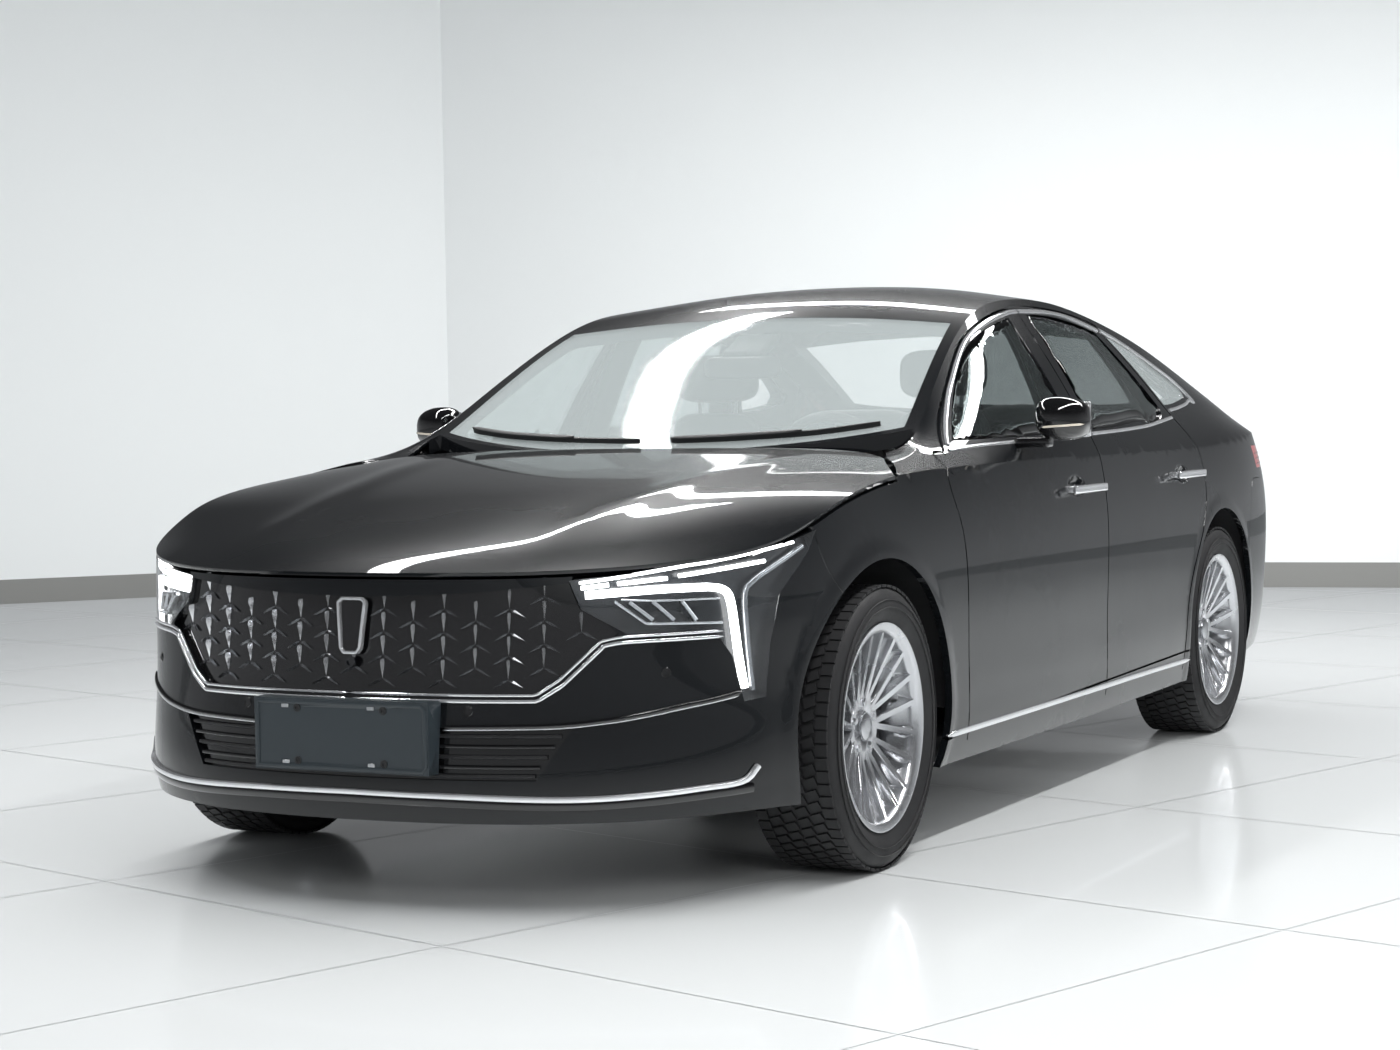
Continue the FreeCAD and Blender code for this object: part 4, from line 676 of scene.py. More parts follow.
@dataclass
class Panel:
    """One outer panel: the CAD node's own edges, its face carried to the smooth skin and shaded by it."""

    node: str
    sheets: tuple
    outer: Finish = PAINT
    inner: Finish = TRIM
    coarse: float = 0.034
    depth: float = 0.0007
    inner_depth: float = 0.017
    fine: tuple = ()

    def build(self) -> Object:
        """Make the panel and hide the CAD node behind it."""
        shape, near = self.refined()
        on_skin = near[0] < self.depth
        places, normals = self.skin(near[1][on_skin], near[2][on_skin], near[3][on_skin])
        verts = np.array(list(shape.verts))
        for vertex, place in zip(verts[on_skin], places):
            vertex.co = place
        mesh = ready(shape, f"{self.node}_panel")
        wanted = np.zeros((len(on_skin), 3))
        wanted[on_skin] = normals
        self.paint(mesh, near[0])
        self.set_normals(mesh, on_skin, wanted)
        return new_piece(f"{self.node}_panel", mesh, [self.outer, self.inner], body_of(self.node), self.node)

    def nearest(self, points: Array) -> tuple:
        """Distance of each point from the skin, the nearest place's sheet and parameters, and its side."""
        side = np.where(points[:, 0] < 0, -1.0, 1.0)
        best, which = np.full(len(points), 9.0), np.zeros(len(points), int)
        pairs = np.zeros((len(points), 2))
        for number, sheet in enumerate(self.sheets):
            local = points * np.c_[np.ones(len(points)) if sheet.centred else side, np.ones((len(points), 2))]
            uv = sheet.search(local)
            gap = np.linalg.norm(sheet.at(uv) - local, axis=1)
            better = gap < best
            which[better], pairs[better], best[better] = number, uv[better], gap[better]
        return best, which, pairs, side

    def skin(self, which: Array, pairs: Array, side: Array, relief: bool = True) -> tuple:
        """Places on the skin with their relief, and the normals there."""
        places, normals = np.zeros((len(pairs), 3)), np.zeros((len(pairs), 3))
        for number, sheet in enumerate(self.sheets):
            chosen = which == number
            if not chosen.any():
                continue
            uv = pairs[chosen]
            base, flat = sheet.at(uv), sheet.normals(uv)
            out = np.sign(((base - (0.0, 0.0, 0.55)) * flat).sum(1))

            def raised(spots: Array, facing: Array = out) -> Array:
                """The skin with its relief laid over it."""
                ground = sheet.at(spots)
                height = Relief.height(ground)
                if np.any(height):
                    ground = ground + sheet.normals(spots) * (facing * height)[:, None]
                return ground

            spot = raised(uv) if relief else base
            normal = (sheet.normals(uv, raised) if relief else flat) * out[:, None]
            turn = np.c_[np.ones(len(uv)) if sheet.centred else side[chosen], np.ones((len(uv), 2))]
            places[chosen], normals[chosen] = spot * turn, normal * turn
        return places, normals

    def refined(self) -> tuple:
        """The CAD node's shape, its face's long edges split until it follows the skin closely.

        Returns:
            The shape, and for every corner what nearest gives.
        """
        shape = bmesh.new()
        shape.from_mesh(merged_copy(self.node, f"{self.node}_start"))
        near = list(self.nearest(np.array([vertex.co for vertex in shape.verts])))
        for _ in range(7):
            points = np.array([vertex.co for vertex in shape.verts])
            flags = near[0] < self.depth
            limits = np.full(len(points), self.coarse)
            for centre, reach, size in self.fine:
                limits[np.linalg.norm((points - centre) / reach, axis=1) < 1] = size
            shape.verts.index_update()
            long_edges = [edge for edge in shape.edges
                          if flags[edge.verts[0].index] and flags[edge.verts[1].index]
                          and edge.calc_length() > min(limits[edge.verts[0].index], limits[edge.verts[1].index])]
            if not long_edges:
                break
            bmesh.ops.subdivide_edges(shape, edges=long_edges, cuts=1)
            bmesh.ops.triangulate(shape, faces=[face for face in shape.faces if len(face.verts) > 3])
            fresh = list(shape.verts)[len(points):]
            found = self.nearest(np.array([vertex.co for vertex in fresh]))
            close = found[0] < 2 * self.depth
            spots, _ = self.skin(found[1][close], found[2][close], found[3][close], False)
            for vertex, spot in zip(np.array(fresh)[close], spots):
                vertex.co = spot
            found[0][close] = 0.0
            near = [np.concatenate(pair) for pair in zip(near, found)]
        return shape, near

    def paint(self, mesh: Mesh, distance: Array) -> None:
        """Paint the face and its folded edge, and trim what lies further in."""
        for polygon in mesh.polygons:
            far = distance[list(polygon.vertices)]
            polygon.material_index = int(far.min() > self.inner_depth or far.max() > 2.2 * self.inner_depth)

    def set_normals(self, mesh: Mesh, on_skin: Array, normals: Array) -> None:
        """Shade the face by the smooth skin, and the rest by its own angles."""
        shade(mesh, 32.0)
        corner = np.array([normal.vector for normal in mesh.corner_normals])
        vertex_of = np.array([loop.vertex_index for loop in mesh.loops])
        flat = np.array([polygon.normal for polygon in mesh.polygons for _ in polygon.loop_indices])
        wanted = normals[vertex_of]
        facing = (wanted * flat).sum(1)
        use = on_skin[vertex_of] & (np.abs(facing) > 0.86)
        corner[use] = wanted[use] * np.sign(facing[use])[:, None]
        mesh.normals_split_custom_set([tuple(normal) for normal in corner])


@dataclass
class Strip:
    """A bar, bead or band that lies along a line on a surface."""

    name: str
    points: Array
    normals: Array
    width: float
    rise: float
    sink: float = 0.0015
    crown: float = 0.35
    closed: bool = False
    taper: float = 0.0

    def mesh(self) -> Mesh:
        """The strip's mesh: a crowned section carried along its line."""
        count = len(self.points)
        after, before = np.roll(self.points, -1, 0), np.roll(self.points, 1, 0)
        if not self.closed:
            after[-1], before[0] = self.points[-1], self.points[0]
        run = after - before
        run /= np.maximum(np.linalg.norm(run, axis=1), 1e-9)[:, None]
        up = self.normals - (self.normals * run).sum(1)[:, None] * run
        up /= np.linalg.norm(up, axis=1)[:, None]
        aside = np.cross(run, up)
        share = np.linspace(0, 1, count)
        fade = np.ones(count)
        if self.taper:
            fade = np.clip(np.minimum(share, 1 - share) / self.taper, 0.02, 1) ** 0.6
        half = self.width / 2
        section = [(-half, -self.sink), (-half, self.rise * (1 - self.crown)), (-half * 0.72, self.rise * 0.93),
                   (0.0, self.rise), (half * 0.72, self.rise * 0.93), (half, self.rise * (1 - self.crown)),
                   (half, -self.sink)]
        rings = [self.points + aside * (across * fade)[:, None] + up * height for across, height in section]
        points = np.stack(rings, 1).reshape(-1, 3)
        return mesh_from(self.name, points, ring_faces(count, len(section), self.closed), 50.0)


def lay_strip(name: str, line: tuple, width: float, rise: float, finish: Finish, body: str = "body",
              **shape: float) -> None:
    """Put a strip in the scene along a line of places and normals, with further values of its section."""
    new_piece(name, Strip(name, *line, width, rise, **shape).mesh(), [finish], body)


def dense(points: Sequence[Sequence[float]], spacing: float, smooth: bool = True) -> Array:
    """Points spread evenly along a line through a few given ones.

    Args:
        points: the given points.
        spacing: distance between neighbours, in the points' own unit.
        smooth: whether the line is a curve, or straight runs.

    Returns:
        The spread points.
    """
    given = np.asarray(points, float)
    if smooth and len(given) > 2:
        ends = np.vstack([2 * given[0] - given[1], given, 2 * given[-1] - given[-2]])
        line = []
        for index in range(len(given) - 1):
            p0, p1, p2, p3 = ends[index:index + 4]
            t = np.linspace(0, 1, 24, endpoint=False)[:, None]
            line.append(0.5 * (2 * p1 + (p2 - p0) * t + (2 * p0 - 5 * p1 + 4 * p2 - p3) * t ** 2
                               + (3 * p1 - p0 - 3 * p2 + p3) * t ** 3))
        given = np.vstack(line + [given[-1:]])
    lengths = np.r_[0, np.cumsum(np.linalg.norm(np.diff(given, axis=0), axis=1))]
    places = np.linspace(0, lengths[-1], max(2, int(round(lengths[-1] / spacing)) + 1))
    return np.stack([np.interp(places, lengths, given[:, axis]) for axis in range(given.shape[1])], 1)


def on_sheet(sheet: Sheet, points: Array, axes: Sequence[int], side: float = 1.0, depth: float = 0.0) -> tuple:
    """Places on the skin that have the given coordinates, with the outward normals there.

    Args:
        sheet: the surface, whose left half is searched.
        points: the points, of which only the given coordinates count.
        axes: the coordinates that count.
        side: +1 for the car's left side, -1 for its right.
        depth: how far under the skin the places lie.

    Returns:
        The places and the normals.
    """
    uv = sheet.search(np.asarray(points, float), axes)
    spots, normals = sheet.at(uv), sheet.normals(uv)
    normals *= np.sign(((spots - (0.0, 0.0, 0.55)) * normals).sum(1))[:, None]
    return mirrored(spots - normals * depth, side), mirrored(normals, side)


def side_line(sheet: Sheet, points: Sequence[tuple], side: float, spacing: float = 0.02, depth: float = 0.0,
              smooth: bool = True) -> tuple:
    """A line on the body side through (y, z) points in millimetres."""
    flat = dense(np.array(points, float) * MM, spacing, smooth)
    return on_sheet(sheet, np.c_[np.zeros(len(flat)), flat], (1, 2), side, depth)


def front_line(points: Sequence[tuple], spacing: float = 0.012, depth: float = 0.0, smooth: bool = True,
               side: float = 1.0, tail: float = 0.0) -> tuple:
    """A line on the nose, or with 1 on the tail, through (x, z) points in millimetres on either side."""
    flat = dense(np.array(points, float) * MM, spacing, smooth)
    folded = np.c_[np.abs(flat[:, 0]), np.full(len(flat), tail), flat[:, 1]]
    spots, normals = on_sheet(LINES.lower, folded, (0, 2), 1.0, depth)
    hand = np.where(flat[:, 0] < 0, -1.0, 1.0)[:, None] * (1, 0, 0) + (0, 1, 1)
    return mirrored(spots * hand, side), mirrored(normals * hand, side)


def back_line(points: Sequence[tuple], spacing: float = 0.02, depth: float = 0.0, smooth: bool = True) -> tuple:
    """A line on the tail through (x, z) points in millimetres."""
    return front_line(points, spacing, depth, smooth, tail=1.0)


class Bodywork:
    """The painted panels, with the trim that lies on them."""

    def build(self) -> None:
        """Make every panel of the body, hood, lid and doors."""
        lines = LINES
        side = (lines.lower, lines.upper)
        for node, sheets, inner in (
                ("front_bumper", (lines.lower,), TRIM), ("nose_panel", (lines.lower,), TRIM),
                ("front_fenders", side, STEEL), ("sill_covers", (lines.lower,), TRIM),
                ("side_panels", side, TRIM), ("rear_bumper", (lines.lower,), TRIM),
                ("roof", (lines.top,), LINING), ("hood", (lines.hood,), STEEL),
                ("trunk_lid", (lines.lower, lines.upper, lines.top), STEEL)):
            Panel(node, sheets, inner=inner).build()
        for hand, sign in SIDES:
            for end, (y, z) in zip(("front", "rear"), Relief.HANDLES):
                recess = (np.array([0.9 * sign, y, z]), np.array([0.06, 0.1, 0.045]), 0.009)
                Panel(f"door_{end}_{hand}", side, inner=DASH, fine=(recess,)).build()


class Repeater:
    """Copies of one small shape at many places, laid out by geometry nodes."""

    @staticmethod
    def tree(unit: Object, finish: Finish) -> NodeTree:
        """Nodes that put a shape on every point of a mesh, turned and sized by the points' own values."""
        tree = bpy.data.node_groups.new("repeat_shape", "GeometryNodeTree")
        tree.interface.new_socket("Geometry", in_out="INPUT", socket_type="NodeSocketGeometry")
        tree.interface.new_socket("Geometry", in_out="OUTPUT", socket_type="NodeSocketGeometry")
        given, out = tree.nodes.new("NodeGroupInput"), tree.nodes.new("NodeGroupOutput")
        shape = add_node(tree, "GeometryNodeObjectInfo", Object=unit)
        values = {key: add_node(tree, "GeometryNodeInputNamedAttribute", Name=key) for key in ("turn", "size")}
        for value in values.values():
            value.data_type = "FLOAT_VECTOR"
        spread = tree.nodes.new("GeometryNodeInstanceOnPoints")
        real = tree.nodes.new("GeometryNodeRealizeInstances")
        paint = add_node(tree, "GeometryNodeSetMaterial", Material=finish.material())
        for source, target in ((given.outputs[0], spread.inputs["Points"]),
                               (shape.outputs["Geometry"], spread.inputs["Instance"]),
                               (values["turn"].outputs["Attribute"], spread.inputs["Rotation"]),
                               (values["size"].outputs["Attribute"], spread.inputs["Scale"]),
                               (spread.outputs["Instances"], real.inputs["Geometry"]),
                               (real.outputs["Geometry"], paint.inputs["Geometry"]),
                               (paint.outputs["Geometry"], out.inputs[0])):
            tree.links.new(source, target)
        return tree

    @classmethod
    def lay(cls, name: str, unit: Mesh, frames: Sequence[Matrix], finish: Finish,
            sizes: Sequence[tuple] | None = None) -> Mesh:
        """One plain mesh of the copies.

        Args:
            name: the mesh's name.
            unit: the small shape, about its own origin.
            frames: place and turn of each copy.
            finish: what the copies are made of.
            sizes: scale of each copy along its own axes, or None for full size.

        Returns:
            The mesh.
        """
        points = bpy.data.meshes.new(f"{name}_points")
        points.from_pydata([tuple(matrix.translation) for matrix in frames], [], [])
        turns = [value for matrix in frames for value in matrix.to_euler()]
        points.attributes.new("turn", "FLOAT_VECTOR", "POINT").data.foreach_set("vector", turns)
        given = [value for size in (sizes or [(1, 1, 1)] * len(frames)) for value in size]
        points.attributes.new("size", "FLOAT_VECTOR", "POINT").data.foreach_set("vector", given)
        source, host = in_scene(f"{name}_unit", unit), in_scene(f"{name}_host", points)
        host.modifiers.new("repeat", "NODES").node_group = cls.tree(source, finish)
        graph = bpy.context.evaluated_depsgraph_get()
        mesh = bpy.data.meshes.new_from_object(host.evaluated_get(graph), depsgraph=graph)
        mesh.name = name
        for thing in (host, source):
            bpy.data.objects.remove(thing)
        return mesh


def frame_at(place: Array, normal: Array, up: Sequence[float] = (0, 0, 1)) -> Matrix:
    """A frame on a surface whose -Y axis points outwards and whose Z axis leans towards a given way up."""
    normal, up = Vector(normal).normalized(), Vector(up)
    rise = (up - up.dot(normal) * normal).normalized()
    turn = Matrix(((-normal).cross(rise), -normal, rise)).transposed().to_4x4()
    return Matrix.Translation(Vector(place)) @ turn


def shard(name: str, length: float, width: float, rise: float, widest: float = 0.75,
          top: float = 0.75) -> Mesh:
    """A raised sliver that stands on its narrow end at the origin."""
    half, middle = width / 2, length * widest
    points = [(0, 0, 0), (half, 0, middle), (half * top, 0, length), (-half * top, 0, length), (-half, 0, middle),
              (0, -rise, middle), (0, -rise * 0.9, length * 0.94)]
    faces = [(0, 1, 5), (1, 2, 6, 5), (2, 3, 6), (3, 4, 5, 6), (4, 0, 5), (0, 4, 3, 2, 1)]
    return mesh_from(name, np.array(points), faces, 20.0)


def button(name: str, radius: float, rise: float, rim: float = 0.0, sides: int = 20) -> Mesh:
    """A small round button or ring that faces -Y."""
    rings = [(radius, 0.0), (radius, -rise * 0.7), (radius * 0.93, -rise)]
    rings += [(rim, -rise), (rim * 0.95, -rise * 0.4), (0.001, -rise * 0.4)] if rim else [(0.001, -rise)]
    angles = np.linspace(0, 2 * math.pi, sides, endpoint=False)
    points = [(r * math.cos(a), y, r * math.sin(a)) for r, y in rings for a in angles]
    return mesh_from(name, np.array(points), ring_faces(len(rings), sides), 30.0)


def placed(mesh: Mesh, matrix: Matrix) -> Mesh:
    """The mesh moved into place."""
    mesh.transform(matrix)
    return mesh


def on_side(mesh: Mesh, side: float) -> Mesh:
    """A mesh made on the left, carried to a side of the car."""
    if side < 0:
        mesh.transform(Matrix.Scale(-1, 4, (1, 0, 0)))
        mesh.flip_normals()
    return mesh


def lay_button(mesh: Mesh, line: tuple, finish: Finish) -> None:
    """Put a button in the scene on the first place of a line of places and normals."""
    places, normals = line
    new_piece(mesh.name, placed(mesh, frame_at(places[0], normals[0])), [finish], "body")


def lay_parts(name: str, parts: Sequence[Mesh], finish: Finish, turn: Matrix | None = None) -> None:
    """Put several meshes of one finish in the scene as one piece of the body."""
    mesh = joined(parts, name)
    new_piece(name, placed(mesh, turn) if turn else mesh, [finish], "body")


def block(name: str, low: Sequence[float], high: Sequence[float], round_by: float = 0.0,
          segments: int = 2) -> Mesh:
    """A box between two corners, in millimetres, with rounded edges."""
    shape = bmesh.new()
    low, high = np.array(low) * MM, np.array(high) * MM
    bmesh.ops.create_cube(shape, size=1.0)
    for vertex in shape.verts:
        vertex.co = Vector((low + high) / 2 + np.array(vertex.co) * (high - low))
    if round_by:
        bmesh.ops.bevel(shape, geom=shape.edges, offset=round_by * MM, segments=segments, profile=0.6,
                        affect="EDGES")
    mesh = ready(shape, name)
    shade(mesh, 40.0)
    return mesh


def skin_line(points: Sequence[tuple], spacing: float = 0.012, depth: float = 0.0, smooth: bool = True,
              side: float = 1.0) -> tuple:
    """A line on the lower body side near (x, y, z) points in millimetres on its left half."""
    flat = dense(np.array(points, float) * MM, spacing, smooth)
    return on_sheet(LINES.lower, flat, (0, 1, 2), side, depth)


def inside(point: Sequence[float], outline: Sequence[tuple]) -> bool:
    """Whether a flat point lies inside a closed outline."""
    found = False
    for (x0, y0), (x1, y1) in zip(outline, list(outline[1:]) + [outline[0]]):
        if (y0 > point[1]) != (y1 > point[1]) and point[0] < (x1 - x0) * (point[1] - y0) / (y1 - y0) + x0:
            found = not found
    return found


class FaceCut:
    """The stretch of a CAD node's surface that lies on the skin, to be laid again at other depths."""

    def __init__(self, node: str, sheets: tuple, coarse: float = 0.022, reach: float = 0.0007) -> None:
        """Find the stretch and its border."""
        panel = Panel(node, sheets, coarse=coarse, depth=reach)
        shape, near = panel.refined()
        flags = near[0] < panel.depth
        number = np.cumsum(flags) - 1
        self.places, self.normals = panel.skin(near[1][flags], near[2][flags], near[3][flags], False)
        shape.verts.index_update()
        kept = [face for face in shape.faces if all(flags[vertex.index] for vertex in face.verts)]
        self.faces = [[int(number[vertex.index]) for vertex in face.verts] for face in kept]
        chosen = set(kept)
        self.border = [tuple(int(number[vertex.index]) for vertex in (loop.vert, loop.link_loop_next.vert))
                       for face in kept for loop in face.loops
                       if sum(other in chosen for other in loop.edge.link_faces) == 1]
        shape.free()

    def layer(self, name: str, top: float, bottom: float, close: bool = True) -> Mesh:
        """A shell between two depths; an open one keeps only its floor and its wall."""
        count = len(self.places)
        points = np.vstack([self.places - self.normals * top, self.places - self.normals * bottom])
        floor = [[index + count for index in reversed(face)] for face in self.faces]
        wall = [(a, b, b + count, a + count) for a, b in self.border]
        return mesh_from(name, points, (self.faces if close else []) + floor + wall, 40.0)


class FrontEnd:
    """Grille, lamps, trim and plate holder of the nose."""

    GRILLE = [(-422, 467), (422, 467), (580, 597), (480, 700), (240, 679), (0, 672), (-240, 679), (-480, 700),
              (-580, 597)]
    COLUMN_STEP = 73.0
    ROW_STEP = 50.0
    FIRST_ROW = 478.0
    PLATE_BACK = 0.003

    def build(self) -> None:
        """Make everything in front."""
        self.grille()
        self.emblem()
        self.trim_lines()
        self.intake()
        self.lamps()
        self.sensors()
        self.plate_holder()

    def grille(self) -> None:
        """Dark plate with staggered three-armed chrome stars."""
        plate = FaceCut("grilles", (LINES.lower,), 0.05, 0.0158)
        new_piece("grille_plate", plate.layer("grille_plate", 0.0135, 0.0200), [GLOSS], "body", "grilles")
        spots = []
        for column in range(-8, 9):
            for row in range(6):
                x = column * self.COLUMN_STEP
                z = self.FIRST_ROW + (row + (0.5 if column % 2 else 0.0)) * self.ROW_STEP
                inner = [(px * 0.975, 585 + (pz - 585) * 0.86) for px, pz in self.GRILLE]
                if inside((x, z), inner) and not (column == 0 and z > 540):
                    spots.append((x, z))
        flat = np.array([(abs(x), 0.0, z) for x, z in spots]) * MM
        places, normals = on_sheet(LINES.lower, flat, (0, 2), 1.0, 0.0130)
        hand = np.array([(-1.0 if x < 0 else 1.0, 1.0, 1.0) for x, _ in spots])
        frames = [frame_at(place, normal) for place, normal in zip(places * hand, normals * hand)]
        bars = Repeater.lay("grille_star_bars", shard("star_bar", 0.042, 0.0085, 0.012), frames, CHROME)
        new_piece("grille_star_bars", bars, [CHROME], "body")
        arms = []
        for turn in (118, -118):
            arms += [matrix @ Matrix.Rotation(math.radians(turn), 4, "Y") for matrix in frames]
        leg = shard("star_arm", 0.038, 0.0070, 0.0085, 0.3, 0.12)
        legs = Repeater.lay("grille_star_arms", leg, arms, DARK_CHROME)
        new_piece("grille_star_arms", legs, [DARK_CHROME], "body")

    @staticmethod
    def emblem() -> None:
        """A bare upright frame in the middle of the grille, with no sign in it."""
        outline = [(-25, 672), (25, 672), (34, 664), (24, 566), (16, 556), (-16, 556), (-24, 566), (-34, 664)]
        loop = outline + outline[:1]
        places, normals = front_line(loop, 0.004, smooth=False)
        lay_strip("emblem_frame", (places[:-1], normals[:-1]), 0.0075, 0.008, CHROME, sink=0.004, closed=True)
        centre = [(-28, 668), (28, 668), (20, 560), (-20, 560)]
        face = np.array([front_line([point, point], 1.0, -0.0012, False)[0][0] for point in centre])
        new_piece("emblem_plate", mesh_from("emblem_plate", face, [(0, 1, 2, 3)], None), [GLOSS], "body")

    @staticmethod
    def trim_lines() -> None:
        """The double chrome line under the grille, the slot strips and the blade along the chin."""
        for side_name, side in SIDES:
            for index, (shift, width, rise) in enumerate(((0.0, 0.0055, 0.0035), (-13.0, 0.0075, 0.0045))):
                low = [(0, 470 + shift), (250, 470 + shift), (426 - shift * 0.2, 470 + shift),
                       (470 - shift * 0.5, 501 + shift * 0.9), (545 - shift * 0.4, 579 + shift * 0.9)]
                places, normals = front_line(low, 0.012, smooth=False, side=side)
                on = [(548 - shift * 0.4, -2229, 582 + shift * 0.8), (590, -2203, 590 + shift * 0.9),
                      (680, -2125, 593 + shift * 0.9), (748, -2052, 595 + shift * 0.9)]
                more, facing = skin_line(on, 0.012, side=side)
                line = (np.vstack([places, more]), np.vstack([normals, facing]))
                lay_strip(f"grille_line_{index}_{side_name}", line, width, rise, CHROME, taper=0.02)
            for name, width, rise, finish, points in (
                    ("slot_strip", 0.010, 0.006, GLOSS,
                     [(230, -2355, 402), (455, -2292, 406), (560, -2240, 415), (619, -2193, 424),
                      (690, -2123, 440), (737, -2072, 449), (776, -2015, 462)]),
                    ("slot_chrome", 0.004, 0.0045, CHROME,
                     [(230, -2355, 396), (455, -2292, 400), (560, -2240, 409), (619, -2193, 418),
                      (690, -2123, 434), (737, -2072, 444), (770, -2025, 453)]),
                    ("chin_blade", 0.013, 0.011, CHROME,
                     [(0, -2376, 259), (247, -2361, 256), (493, -2283, 250), (621, -2204, 254),
                      (717, -2111, 262), (775, -2026, 270), (795, -1992, 300)]),
                    ("chin_ledge", 0.020, 0.008, GLOSS,
                     [(0, -2376, 246), (247, -2361, 243), (493, -2283, 237), (621, -2204, 241),
                      (717, -2111, 248), (790, -2004, 254)])):
                lay_strip(f"{name}_{side_name}", skin_line(points, 0.014, side=side), width, rise, finish,
                          sink=0.003, taper=0.015 if name.startswith("slot") else 0.0)

    @staticmethod
    def intake() -> None:
        """Slats across the lower opening."""
        for number, (height, reach) in enumerate(((384, 478), (362, 466), (340, 452), (318, 438), (299, 428))):
            line = front_line([(-reach, height), (0, height), (reach, height)], 0.02, 0.0130, False)
            lay_strip(f"intake_slat_{number}", line, 0.009, 0.0110, GLOSS if number % 2 else TRIM)

    def lamps(self) -> None:
        """Clear cover over a dark bowl with white bars, a projector box and its trims, on both sides."""
        cut = FaceCut("headlamps", (LINES.lower,))
        new_piece("headlamp_cover", cut.layer("headlamp_cover", 0.0, 0.0022), [LENS], "body", "headlamps")
        new_piece("headlamp_bowl", cut.layer("headlamp_bowl", 0.0024, 0.026, False), [DARK_HOUSING], "body")
        seven = [(518, -2241, 679), (634, -2167, 687), (700, -2107, 689), (738, -2064, 688), (757, -2040, 678),
                 (764, -2031, 655), (768, -2026, 616), (774, -2017, 540), (782, -2006, 468)]
        bars = (("main_bar", seven, 0.0165, 0.008, LIT, 0.012),
                ("top_line", [(510, -2252, 705), (558, -2221, 712), (672, -2135, 732), (772, -2014, 752),
                              (840, -1870, 776)], 0.006, 0.004, LIT, 0.008),
                ("piece_inner", [(512, -2249, 694), (563, -2217, 700)], 0.008, 0.005, LIT, 0.010),
                ("piece_middle", [(579, -2207, 702), (665, -2141, 711)], 0.008, 0.005, LIT, 0.010),
                ("piece_outer", [(684, -2123, 715), (808, -1951, 739)], 0.008, 0.005, LIT, 0.010),
                ("outer_branch", [(793, -1989, 462), (785, -1999, 584), (783, -2001, 670), (792, -1984, 695),
                                  (814, -1943, 720), (846, -1840, 766)], 0.011, 0.006, DARK_CHROME, 0.010),
                ("box_lower", [(573, -2210, 664), (629, -2173, 616), (750, -2050, 612)], 0.006, 0.006, CHROME,
                 0.010),
                ("box_upper", [(585, -2203, 668), (651, -2153, 664), (748, -2053, 664)], 0.004, 0.004, CHROME,
                 0.012),
                ("box_slant_a", [(600, -2192, 662), (640, -2162, 624)], 0.008, 0.006, SATIN_METAL, 0.014),
                ("box_slant_b", [(640, -2160, 662), (676, -2132, 622)], 0.008, 0.006, SATIN_METAL, 0.014),
                ("box_slant_c", [(690, -2118, 660), (712, -2096, 620)], 0.008, 0.006, SATIN_METAL, 0.014))
        for side_name, side in SIDES:
            for name, points, width, rise, finish, depth in bars:
                line = skin_line(points, 0.008, depth, name != "box_lower", side)
                lay_strip(f"lamp_{name}_{side_name}", line, width, rise, finish, sink=0.004)
            for number, point in enumerate(((640, -2160, 642), (700, -2108, 641))):
                lay_button(button(f"projector_{number}_{side_name}", 0.016, 0.006, 0.011),
                           skin_line([point, point], 1.0, 0.018, False, side), SCREEN)

    @staticmethod
    def sensors() -> None:
        """Round parking sensors and the small camera under the emblem frame."""
        for side_name, side in SIDES:
            for number, (x, z) in enumerate(((284, 437), (661, 512))):
                lay_button(button(f"front_sensor_{number}_{side_name}", 0.011, 0.0022, 0.0085),
                           front_line([(x, z), (x, z)], 1.0, 0.0005, False, side), GLOSS)
        lay_button(button("front_camera", 0.013, 0.007, 0.008),
                   front_line([(0, 536), (0, 536)], 1.0, 0.002, False), SCREEN)

    def plate_holder(self) -> None:
        """The blank plate holder with its bead, screw seats and clips, its face kept behind the CAD's front."""
        mesh = merged_copy("plate_carrier", "plate_holder")
        front = min(vertex.co.y for vertex in mesh.vertices)
        for vertex in mesh.vertices:
            if vertex.co.y < front + 5e-4:
                vertex.co.y = front + self.PLATE_BACK
        shade(mesh, 30.0)
        new_piece("plate_holder", mesh, [PLATE], "body", "plate_carrier")
        y = front / MM + 3.2
        corners = np.array([(-214, y, 311), (214, y, 311), (214, y, 451), (-214, y, 451), (-214, y, 311)])
        line = dense(corners * MM, 0.02, False)
        lay_strip("plate_bead", (line[:-1], np.tile((0.0, -1.0, 0.0), (len(line) - 1, 1))), 0.010, 0.0028, PLATE,
                  sink=0.001, closed=True)
        seats, clips = [], []
        for x in (-110, 110):
            for z in (324, 438):
                seats.append(placed(button(f"screw_seat_{x}_{z}", 0.009, 0.0026, 0.0036, 16),
                                    Matrix.Translation(Vector((x * MM, y * MM, z * MM)))))
                sign = 1 if z > 381 else -1
                clips.append(block(f"clip_{x}_{z}", (x - 40, front / MM + 0.4, z - 4 + 4 * sign),
                                   (x - 22, y, z + 4 + 4 * sign), 1.0, 1))
        lay_parts("plate_screw_seats", seats, TRIM)
        lay_parts("plate_clips", clips, SATIN_METAL)


